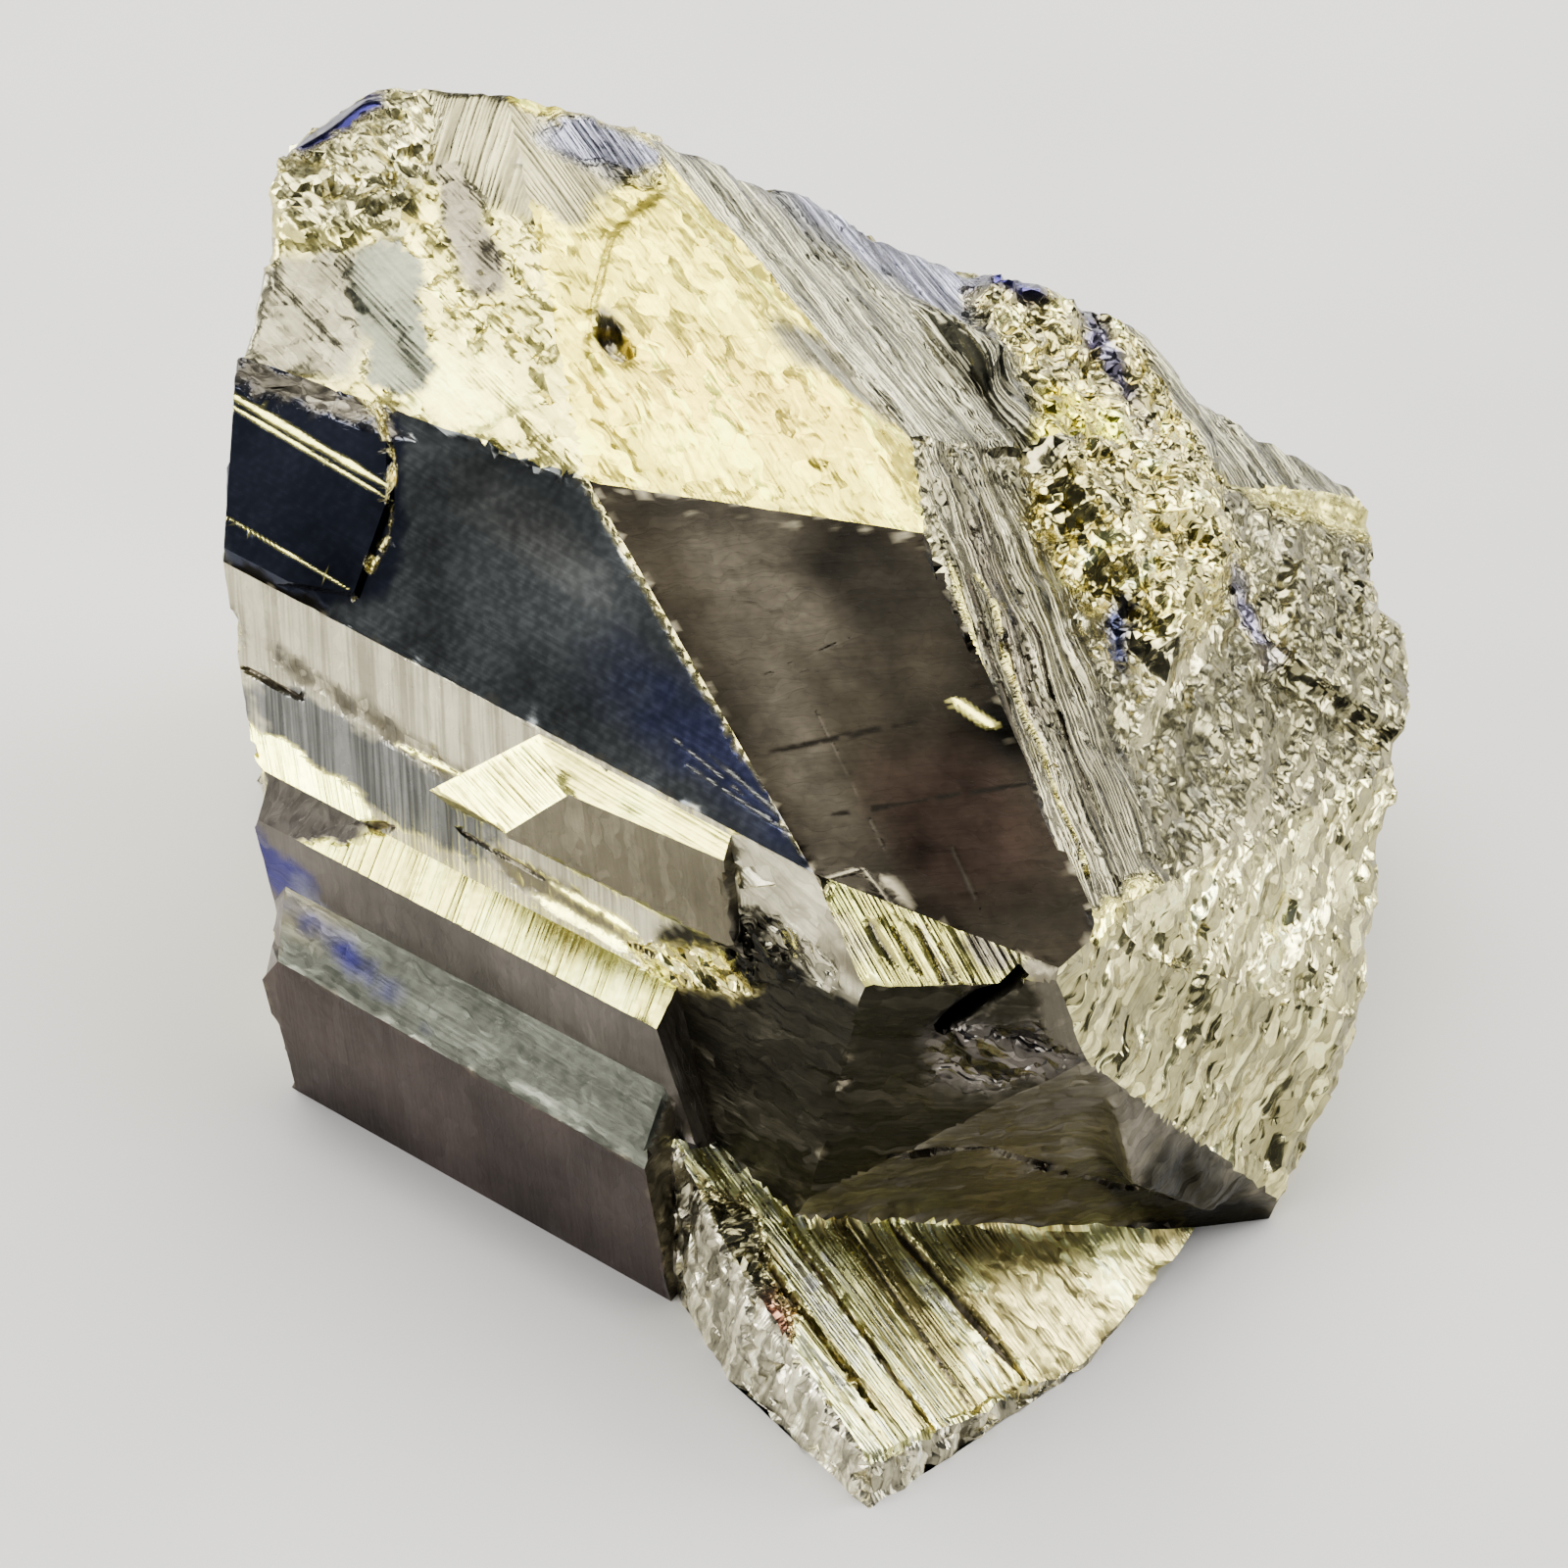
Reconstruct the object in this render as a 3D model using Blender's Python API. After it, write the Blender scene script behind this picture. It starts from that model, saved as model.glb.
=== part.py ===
"""Pyrite cluster: brassy crystals grown together in one solid, lying on its broken base.

A main crystal carries a prow where four of its faces meet. Two stepped ledges and a block
grow out of its front-left side, a low foot runs out in front, a rough spur and lobe make its
right side, and small crystals stud its back.

The dimensions below are in millimetres and degrees, and the model is in metres, +Z up, with
the foot toward -Y. The origin is on the flat base, under the stone's middle.
"""

import math
import random
from collections import namedtuple

import bmesh
import bpy
from mathutils import Matrix, Vector, noise

NAME = "pyrite_cluster"
MM = 0.001
SEED = 12

BLOCK = 160.0  # the cube that each crystal is cut from, and the ground that cuts their base
ROUGH_CELL = 2.0  # width of the broken facets on rough faces
FLAT_CELL = 9.0  # the longest edge left on a smooth face
DICE_PASSES = 6  # each pass halves the longest edges
SLIVER = 0.08  # edges shorter than this are closed up
GRAIN_DRIFT = 0.28  # how far a facet's corner strays along its face, as a share of the cell
SWELL_SPACING = 9.0  # distance between the broad swells of a rough face
SWELL_SHARE = 0.9  # height of the swells, as a share of the face's roughness

# A crystal face looks toward its facing (0 = front, 90 = right) at its tilt above the
# horizon, at its distance from the origin. Its roughness is how far its surface is broken.
Face = namedtuple("Face", "facing tilt distance roughness", defaults=(0.0,))

CRYSTALS = {
    "main": {
        "dark pane": Face(-36, 48, 25.8),
        "brown pane": Face(44, 69, 25.3),
        "front left": Face(-37, 6, 15.5),
        "striped bevel": Face(-4, 24, 24.1),
        "front": Face(-2, 0, 18.3, 0.15),
        "undercut": Face(10, -16, 15.5, 0.25),
        "left crown": Face(-44, 74, 30.3, 0.25),
        "right crown": Face(64, 74, 26.1),
        "upper slope": Face(103, 58, 25.5, 0.2),
        "right slope": Face(84, 53, 23.4, 0.3),
        "right shoulder": Face(66, 28, 23.9, 0.5),
        "right flank": Face(50, 13, 23.0, 0.5),
        "far right": Face(88, 8, 28.5, 0.5),
        "back right": Face(130, 10, 32.5, 0.6),
        "right heel": Face(100, -40, 12.5, 0.6),
        "left end": Face(-100, -8, 21.3, 0.4),
        "back left": Face(-130, 40, 43.0, 0.6),
        "back slope": Face(168, 24, 30.1, 0.5),
        "back": Face(172, -4, 21.5, 0.6),
    },
    "gold ledge": {
        "tread": Face(-37, 62, 18.7),
        "riser": Face(-37, 0, 15.9),
        "right end": Face(50, 20, 8.5),
        "left end": Face(-110, -12, 18.6, 0.3),
        "inside": Face(143, 0, -6.0),
    },
    "grey ledge": {
        "tread": Face(-37, 48, 17.8),
        "riser": Face(-38, -3, 17.9),
        "right end": Face(58, 8, 4.2, 0.2),
        "left end": Face(-115, -10, 18.0, 0.3),
        "left bevel": Face(-80, 20, 24.6, 0.3),
        "inside": Face(143, 0, -6.0),
    },
    "block": {
        "front": Face(-34, 5, 16.1),
        "tread": Face(-37, 62, 26.8),
        "left end": Face(-54, 21, 21.1),
        "right end": Face(60, 10, 7.6),
        "underside": Face(-37, -50, -4.1),
        "top": Face(-36, 48, 25.6),
        "right top": Face(44, 69, 25.2),
        "inside": Face(143, -30, -20.1),
    },
    "foot": {
        "sole": Face(62, 68, 7.6),
        "left side": Face(-66, 5, 12.5, 0.4),
        "left toe": Face(-52, 10, 16.5, 0.3),
        "right toe": Face(42, 12, 22.9, 0.3),
        "right side": Face(58, 10, 20.4, 0.3),
        "right heel": Face(75, 0, 21.0, 0.3),
        "inside": Face(150, 0, 1.2),
    },
}

# A patch is the main crystal grown by some amount (mm) on the faces named, within a convex
# outline of points (mm) on its surface. Its sides lean in and are as rough as it is, and its
# other faces stay just inside the main crystal.
INSET = 0.1
SIDE_LEAN = 0.45
Patch = namedtuple("Patch", "growth outline")
PATCHES = {
    "lobe": Patch(
        {"upper slope": 1.3, "right slope": 1.5},
        [(7, 23, 22.5), (13.5, 22.5, 19), (17, 16, 17.5), (17.5, 8, 17), (14, -0.5, 18.5), (8.5, 8, 23.5), (6, 15, 24.5)],
    ),
    "crown plate": Patch(
        {"right crown": 0.5},
        [(-6.5, 17.5, 31), (3.5, 5.5, 27), (4.5, 0.5, 26), (-6, -0.5, 29), (-10, 7.5, 30.5), (-9, 14, 31)],
    ),
    "terrace": Patch(
        {"dark pane": 0.35},
        [(-25, 10.5, 29), (-18.5, 7, 29), (-17.5, 4.5, 28.5), (-17.5, 2, 27), (-19, -1, 24), (-26, 2, 23)],
    ),
    "knob": Patch(
        {"left crown": 0.9},
        [(-24, 15.5, 30), (-22.5, 20, 31), (-19.5, 23, 32), (-16.5, 20.5, 32), (-17, 16, 31.5), (-20, 14, 30.5)],
    ),
    "spur": Patch(
        {"front": 4.0, "undercut": 4.5},
        [(10, -17, 19.5), (11, -16.5, 7.5), (17, -13.5, 2), (21, -10, 5.5)],
    ),
}

# Cubes grown into the back and the right side: middle (mm), half the width, facing and tilt of one face.
Cube = namedtuple("Cube", "middle half facing tilt")
CUBES = {
    "back cube": Cube((-9.0, 16.5, 12.5), 7.0, 158, 16),
    "low cube": Cube((-16.0, 15.0, 5.0), 6.0, -128, 8),
    "small cube": Cube((6.5, 19.5, 7.0), 4.6, 190, 28),
    "high cube": Cube((3.0, 15.5, 18.5), 5.4, 148, 38),
    "side cube": Cube((20.7, 8.5, 10.8), 3.5, 84, 50),
}

# Cracks are thin wedges sunk into a face: middle (mm), length, width, depth, facing, tilt, lean.
Crack = namedtuple("Crack", "middle length width depth facing tilt lean")
CRACKS = {
    "prow crack": Crack((6.4, -18.1, 17.6), 4.8, 0.6, 2.4, -2, 10, -45),
    "bevel pit": Crack((-3.4, -15.6, 21.4), 2.0, 0.9, 1.6, -37, 20, -30),
    "crown pit": Crack((-8.7, 7.4, 31.3), 2.2, 1.0, 1.6, -44, 74, 20),
}


def direction(face):
    """The unit vector that a face looks along."""
    facing, tilt = math.radians(face.facing), math.radians(face.tilt)
    level = math.cos(tilt)
    return Vector((level * math.sin(facing), -level * math.cos(facing), math.sin(tilt)))


def patch_faces(patch):
    """The planes of the main crystal, grown or inset, and those that bound the patch."""
    faces = {}
    for name, face in CRYSTALS["main"].items():
        faces[name] = face._replace(distance=face.distance + patch.growth.get(name, -INSET))
    grown = [faces[name] for name in patch.growth]
    out = sum((direction(face) for face in grown), Vector()).normalized()
    rough = grown[0].roughness
    points = [Vector(point) for point in patch.outline]
    middle = sum(points, Vector()) / len(points)
    for index, (here, after) in enumerate(zip(points, points[1:] + points[:1])):
        side = (after - here).cross(out).normalized()
        if side.dot(here - middle) < 0:
            side = -side
        side = (side + SIDE_LEAN * out).normalized()
        facing, tilt = math.degrees(math.atan2(side.x, -side.y)), math.degrees(math.asin(side.z))
        faces[f"side {index}"] = Face(facing, tilt, side.dot(here), rough)
    return faces


def new_object(name, bm):
    mesh = bpy.data.meshes.new(name)
    bm.to_mesh(mesh)
    bm.free()
    obj = bpy.data.objects.new(name, mesh)
    bpy.context.scene.collection.objects.link(obj)
    return obj


def add_crystal(name, faces):
    """A cube cut down by each of the crystal's faces in turn."""
    bm = bmesh.new()
    bmesh.ops.create_cube(bm, size=BLOCK * MM)
    for face in faces.values():
        out = direction(face)
        cut = bmesh.ops.bisect_plane(
            bm,
            geom=bm.verts[:] + bm.edges[:] + bm.faces[:],
            dist=1e-8,
            plane_co=out * face.distance * MM,
            plane_no=out,
            clear_outer=True,
        )
        rim = [item for item in cut["geom_cut"] if isinstance(item, bmesh.types.BMEdge)]
        bmesh.ops.holes_fill(bm, edges=rim)
    bmesh.ops.recalc_face_normals(bm, faces=bm.faces)
    return new_object(name, bm)


def turned(facing, tilt, lean=0.0):
    """The rotation that points a part's -Y axis along a facing and tilt, leaned about it."""
    look = Matrix.Rotation(math.radians(facing), 4, "Z") @ Matrix.Rotation(math.radians(-tilt), 4, "X")
    return look @ Matrix.Rotation(math.radians(lean), 4, "Y")


def add_block(name, middle, size, turn):
    """A box of a size (mm), turned and moved to its middle (mm)."""
    bm = bmesh.new()
    bmesh.ops.create_cube(bm, size=1.0)
    place = Matrix.Translation(Vector(middle) * MM) @ turn @ Matrix.Diagonal((*(Vector(size) * MM), 1.0))
    bmesh.ops.transform(bm, matrix=place, verts=bm.verts)
    return new_object(name, bm)


def add_cube(name, cube):
    return add_block(name, cube.middle, [2 * cube.half] * 3, turned(cube.facing, cube.tilt))


def add_crack(name, crack):
    size = (crack.length, 2 * crack.depth, crack.width)
    return add_block(name, crack.middle, size, turned(crack.facing, crack.tilt, crack.lean))


def add_ground():
    """The block below the base, which cuts every crystal off flat."""
    return add_block("ground", (0, 0, -BLOCK / 2), [BLOCK] * 3, Matrix.Identity(4))


def combine(first, others, operation):
    """Adds one exact Boolean for each of the other objects."""
    for other in others:
        boolean = first.modifiers.new(other.name, "BOOLEAN")
        boolean.operation = operation
        boolean.solver = "EXACT"
        boolean.object = other


def grow_together(crystals, cuts):
    """The union of the crystals less the cuts, as one mesh."""
    first, *others = crystals
    combine(first, others, "UNION")
    combine(first, cuts, "DIFFERENCE")
    depsgraph = bpy.context.evaluated_depsgraph_get()
    mesh = bpy.data.meshes.new_from_object(first.evaluated_get(depsgraph))
    bm = bmesh.new()
    bm.from_mesh(mesh)
    bpy.data.meshes.remove(mesh)
    for tool in crystals + cuts:
        bpy.data.objects.remove(tool)
    return bm


def roughness_of(face, known):
    """The roughness of the crystal face that a mesh face lies on, or 0 where it is on none."""
    middle = face.calc_center_median()
    for crystal_face in known:
        out = direction(crystal_face)
        if face.normal.dot(out) > 0.99999 and abs(middle.dot(out) - crystal_face.distance * MM) < 2e-5:
            return crystal_face.roughness
    return 0.0


def dice(bm, roughness):
    """Splits long edges into short ones, to the rough cell on rough faces only."""

    def limit(edge):
        rough = any(face[roughness] > 0 for face in edge.link_faces)
        return (ROUGH_CELL if rough else FLAT_CELL) * MM

    def is_inner(edge):
        return len(edge.link_faces) == 2 and edge.calc_face_angle() < 1e-3

    for _ in range(DICE_PASSES):
        bmesh.ops.triangulate(bm, faces=bm.faces)
        inner = [edge for edge in bm.edges if is_inner(edge)]
        bmesh.ops.beautify_fill(bm, faces=bm.faces, edges=inner, method="ANGLE")
        too_long = [edge for edge in bm.edges if edge.calc_length() > 1.45 * limit(edge)]
        bmesh.ops.subdivide_edges(bm, edges=too_long, cuts=1)
        bmesh.ops.dissolve_degenerate(bm, edges=bm.edges, dist=SLIVER * MM)
    bmesh.ops.triangulate(bm, faces=bm.faces)


def roughen(bm, roughness):
    """Breaks the rough faces: their corners drift along the face and move in and out of it."""
    random.seed(SEED)
    moves = {}
    for vert in bm.verts:
        depth = min(face[roughness] for face in vert.link_faces)
        if depth == 0:
            continue
        swell = noise.noise(vert.co / (SWELL_SPACING * MM)) * SWELL_SHARE
        out = vert.normal * (random.uniform(-1, 0.6) + swell) * depth
        drift = Vector([random.uniform(-1, 1) for _ in range(3)]) * GRAIN_DRIFT * ROUGH_CELL
        drift -= vert.normal * drift.dot(vert.normal)
        if any(edge.calc_face_angle() > 0.05 for edge in vert.link_edges):
            drift *= 0
        moves[vert] = (out + drift) * MM
    for vert, move in moves.items():
        vert.co += move
        vert.co.z = max(vert.co.z, 0.0)


def make_material():
    """Pale brass, as polished as natural pyrite."""
    material = bpy.data.materials.new("pyrite")
    material.use_nodes = True
    shader = material.node_tree.nodes["Principled BSDF"]
    shader.inputs["Base Color"].default_value = (0.56, 0.48, 0.30, 1.0)
    shader.inputs["Metallic"].default_value = 1.0
    shader.inputs["Roughness"].default_value = 0.35
    return material


def main():
    for obj in list(bpy.data.objects):
        bpy.data.objects.remove(obj)

    growths = {**CRYSTALS, **{name: patch_faces(patch) for name, patch in PATCHES.items()}}
    crystals = [add_crystal(name, faces) for name, faces in growths.items()]
    crystals += [add_cube(name, cube) for name, cube in CUBES.items()]
    cuts = [add_crack(name, crack) for name, crack in CRACKS.items()]
    bm = grow_together(crystals, cuts + [add_ground()])
    bmesh.ops.dissolve_limit(bm, angle_limit=math.radians(0.05), verts=bm.verts, edges=bm.edges)

    known = [face for faces in growths.values() for face in faces.values()]
    roughness = bm.faces.layers.float.new("roughness")
    bm.normal_update()
    for face in bm.faces:
        face[roughness] = roughness_of(face, known)
    bmesh.ops.triangulate(bm, faces=bm.faces)
    bmesh.ops.dissolve_degenerate(bm, edges=bm.edges, dist=SLIVER * MM)
    dice(bm, roughness)
    bm.normal_update()
    roughen(bm, roughness)

    stone = new_object(NAME, bm)
    stone.data.materials.append(make_material())
    collection = bpy.data.collections.new("Pyrite cluster")
    bpy.context.scene.collection.children.link(collection)
    bpy.context.scene.collection.objects.unlink(stone)
    collection.objects.link(stone)
    print(NAME, "triangles", len(stone.data.polygons), "size", [round(d / MM, 1) for d in stone.dimensions])


main()
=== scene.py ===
"""Pyrite cluster: the surface, colours and stage of a brassy pyrite specimen.

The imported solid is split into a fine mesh. Each small triangle belongs to one crystal face,
found from the faces' own planes, and that face's look says how its surface is broken, lined
and coloured. Lengths in the tables are millimetres, angles are degrees, and the mesh is in
metres, +Z up. A face's own coordinates run along its level line, then up its slope.
"""

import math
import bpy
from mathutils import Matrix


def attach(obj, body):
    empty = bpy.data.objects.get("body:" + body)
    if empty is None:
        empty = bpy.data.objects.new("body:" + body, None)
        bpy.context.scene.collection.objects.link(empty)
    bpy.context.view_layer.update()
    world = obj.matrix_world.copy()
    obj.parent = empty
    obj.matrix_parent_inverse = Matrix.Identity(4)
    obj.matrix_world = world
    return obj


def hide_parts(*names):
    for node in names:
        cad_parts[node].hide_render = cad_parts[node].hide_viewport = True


bl_info = {
    "name": "Pyrite cluster",
    "version": (1, 0, 0),
    "blender": (4, 5, 0),
    "location": "3D View > Sidebar > Pyrite",
    # The dark tints called tarnish are partly tarnish and partly painted shade and painted reflection.
    "description": "Adds a pyrite cluster with its broken, lined and tarnished faces, and a stage",
    "category": "Add Mesh",
}

from collections import namedtuple

import bmesh
import bpy
import numpy as np
from mathutils import Vector

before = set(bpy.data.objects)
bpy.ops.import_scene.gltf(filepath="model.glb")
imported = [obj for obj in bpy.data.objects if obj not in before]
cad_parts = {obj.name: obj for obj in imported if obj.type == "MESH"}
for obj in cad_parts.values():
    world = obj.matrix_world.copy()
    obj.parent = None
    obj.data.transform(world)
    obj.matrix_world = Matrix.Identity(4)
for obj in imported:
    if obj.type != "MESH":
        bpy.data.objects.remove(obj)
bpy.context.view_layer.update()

NODE = "pyrite_cluster"
MM = 0.001

# The camera looks down at the prow from the front.
CAMERA_TARGET = (-1.5, -8.0, 20.0)
CAMERA_DISTANCE = 340.0
CAMERA_DOWN = 42.0
CAMERA_LENS = 191.25
SENSOR_WIDTH = 36.0
NEAREST_SEEN = 0.01  # m

STONE_MIDDLE = (0.0, 0.0, 0.015)  # m, where every softbox points

# A look's tint is a metal colour of the settings. Its roughness is the shader's. Its lines run
# at an angle from the face's level line, a spacing apart and a relief high. Its grain is how
# strongly fine facets break the light, and its hackle is the height of broken lumps a cell
# across, drawn out along the lines. Its cloud is how far its tint wanders, and its lean is
# how far it is turned up the slope.
Look = namedtuple(
    "Look",
    "tint roughness angle spacing relief grain hackle cell stretch cloud lean",
    defaults=(0.0, 0.0, 0.0, 1.0, 3.0, 0.18, 0.0),
)


def like(look, tint, **changes):
    """A look with another tint, and with other changes."""
    return look._replace(tint=tint, **changes)


# PANE: its navy tint is partly dark tarnish and partly painted dark reflection.
PANE = Look("navy", 0.22, -4, 2.5, 0.01, 0.0, cloud=0.55)
# BROWN: its umber tint is partly brown tarnish and partly painted dark reflection.
BROWN = Look("umber", 0.32, -28, 1.2, 0.015, 0.10, cloud=0.9)
RISER = Look("straw", 0.30, -84, 0.5, 0.10, 0.12, lean=6)
BEVEL = Look("gold", 0.24, -60, 1.0, 0.14, 0.12, cloud=0.3, lean=4)
# FRONT: its olive tint is painted shade, a dark colour in place of the shade under the overhang.
FRONT = Look("olive", 0.42, 2, 2.2, 0.03, 0.5, 0.06, 1.6, cloud=0.4)
CROWN = Look("cream", 0.26, -11, 0.8, 0.04, 0.35, 0.2, 1.1, 1.4)
LINED_CROWN = like(CROWN, "drab", grain=0.08, hackle=0.03, relief=0.15, angle=-60)
# PROW: its peat tint is painted shade on the front below the brown pane.
PROW = like(FRONT, "peat")
PLATE = Look("butter", 0.30, -121, 0.8, 0.04, 0.42, 0.03, 0.8, 1.6)
SLOPE = Look("haze", 0.24, -155, 1.4, 0.42, 0.25, 0.04, 0.9, 5.0, 0.4)
BLUE_LINES = like(SLOPE, "violet", relief=0.3, angle=-121, cloud=0.7)
BAND = Look("steel", 0.24, -150, 1.3, 0.40, 0.5, 0.08, 0.8, 5.0, 0.4)
BROKEN = Look("brass", 0.22, 9, 1.0, 0.02, 0.9, 0.2, 1.2, 2.0, 0.3)
LOBE = Look("lemon", 0.18, -30, 1.0, 0.02, 1.1, 0.4, 1.2, 2.0, 0.35)
DUST = Look("straw", 0.34, -20, 0.9, 0.02, 0.35, 0.06, 1.0, cloud=0.5)
BACK = Look("brass", 0.28, 20, 1.2, 0.04, 0.9, 0.34, 1.5, 1.6, 0.3)
TREAD = Look("gold", 0.24, -76, 0.55, 0.10, 0.05, lean=10)
# SHADOW_RISER: its mauve tint is painted shade on the risers and ends it is given to.
SHADOW_RISER = Look("mauve", 0.34, -86, 0.6, 0.02, 0.12, cloud=0.35)
GREY_TREAD = Look("sage", 0.34, -3, 1.4, 0.01, 0.08, cloud=0.35)
# DUSK_RISER: its maroon tint is painted shade on the lowest riser.
DUSK_RISER = Look("maroon", 0.36, -88, 0.6, 0.02, 0.12, cloud=0.35)
BLOCK_FRONT = Look("bronze", 0.30, -80, 0.7, 0.03, 0.25, cloud=0.35)
BLOCK_TOP = Look("gold", 0.22, -4, 0.5, 0.03, 0.05, lean=20)
SOLE = Look("sand", 0.28, -112, 1.5, 0.3, 0.35, 0.05, 0.9, 4.0, 0.25)
WORN_SOLE = SOLE._replace(relief=0.05, grain=0.5, lean=-18, roughness=0.36)
FOOT_SIDE = Look("straw", 0.28, 80, 1.0, 0.1, 0.9, 0.3, 1.0)
PLAIN = Look("brass", 0.35, 0, 1.0, grain=0.4)

# Each face looks toward its facing (0 = front, 90 = right) at its tilt above the horizon, at
# its distance from the origin, as on the solid.
Face = namedtuple("Face", "facing tilt distance look")
CRYSTALS = {
    "main": {
        "dark pane": Face(-36, 48, 25.8, PANE),
        "brown pane": Face(44, 69, 25.3, BROWN),
        "front left": Face(-37, 6, 15.5, RISER),
        "striped bevel": Face(-4, 24, 24.1, BEVEL),
        "front": Face(-2, 0, 18.3, PROW),
        "undercut": Face(10, -16, 15.5, FRONT),
        "left crown": Face(-44, 74, 30.3, CROWN),
        "right crown": Face(64, 74, 26.1, PLATE),
        "upper slope": Face(103, 58, 25.5, SLOPE),
        "right slope": Face(84, 53, 23.4, like(BROKEN, "drab", angle=-11, stretch=5.0)),
        "right shoulder": Face(66, 28, 23.9, BROKEN._replace(hackle=0.13, cell=0.9)),
        "right flank": Face(50, 13, 23.0, BROKEN._replace(angle=36, hackle=0.1, cell=0.9)),
        "far right": Face(88, 8, 28.5, BROKEN),
        "back right": Face(130, 10, 32.5, BACK),
        "right heel": Face(100, -40, 12.5, BACK),
        "left end": Face(-100, -8, 21.3, BACK),
        "back left": Face(-130, 40, 43.0, BACK),
        "back slope": Face(168, 24, 30.1, BACK),
        "back": Face(172, -4, 21.5, BACK),
    },
    "gold ledge": {
        "tread": Face(-37, 62, 18.7, TREAD),
        "riser": Face(-37, 0, 15.9, SHADOW_RISER),
        "right end": Face(50, 20, 8.5, SHADOW_RISER),
        "left end": Face(-110, -12, 18.6, BACK),
        "inside": Face(143, 0, -6.0, PLAIN),
    },
    "grey ledge": {
        "tread": Face(-37, 48, 17.8, GREY_TREAD),
        "riser": Face(-38, -3, 17.9, DUSK_RISER),
        "right end": Face(58, 8, 4.2, FRONT),
        "left end": Face(-115, -10, 18.0, BACK),
        "left bevel": Face(-80, 20, 24.6, SHADOW_RISER),
        "inside": Face(143, 0, -6.0, PLAIN),
    },
    "block": {
        "front": Face(-34, 5, 16.1, BLOCK_FRONT),
        "tread": Face(-37, 62, 26.8, BLOCK_TOP),
        "left end": Face(-54, 21, 21.1, BLOCK_TOP._replace(lean=22)),
        "right end": Face(60, 10, 7.6, FRONT),
        "underside": Face(-37, -50, -4.1, FRONT),
        "top": Face(-36, 48, 25.6, BLOCK_TOP),
        "right top": Face(44, 69, 25.2, BLOCK_TOP),
        "inside": Face(143, -30, -20.1, PLAIN),
    },
    "foot": {
        "sole": Face(62, 68, 7.6, SOLE),
        "left side": Face(-66, 5, 12.5, FOOT_SIDE),
        "left toe": Face(-52, 10, 16.5, FOOT_SIDE),
        "right toe": Face(42, 12, 22.9, FOOT_SIDE),
        "right side": Face(58, 10, 20.4, FOOT_SIDE),
        "right heel": Face(75, 0, 21.0, FOOT_SIDE),
        "inside": Face(150, 0, 1.2, PLAIN),
    },
}
SURFACES = [face for faces in CRYSTALS.values() for face in faces.values()]
NAMES = [f"{crystal}, {name}" for crystal, faces in CRYSTALS.items() for name in faces]

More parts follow.
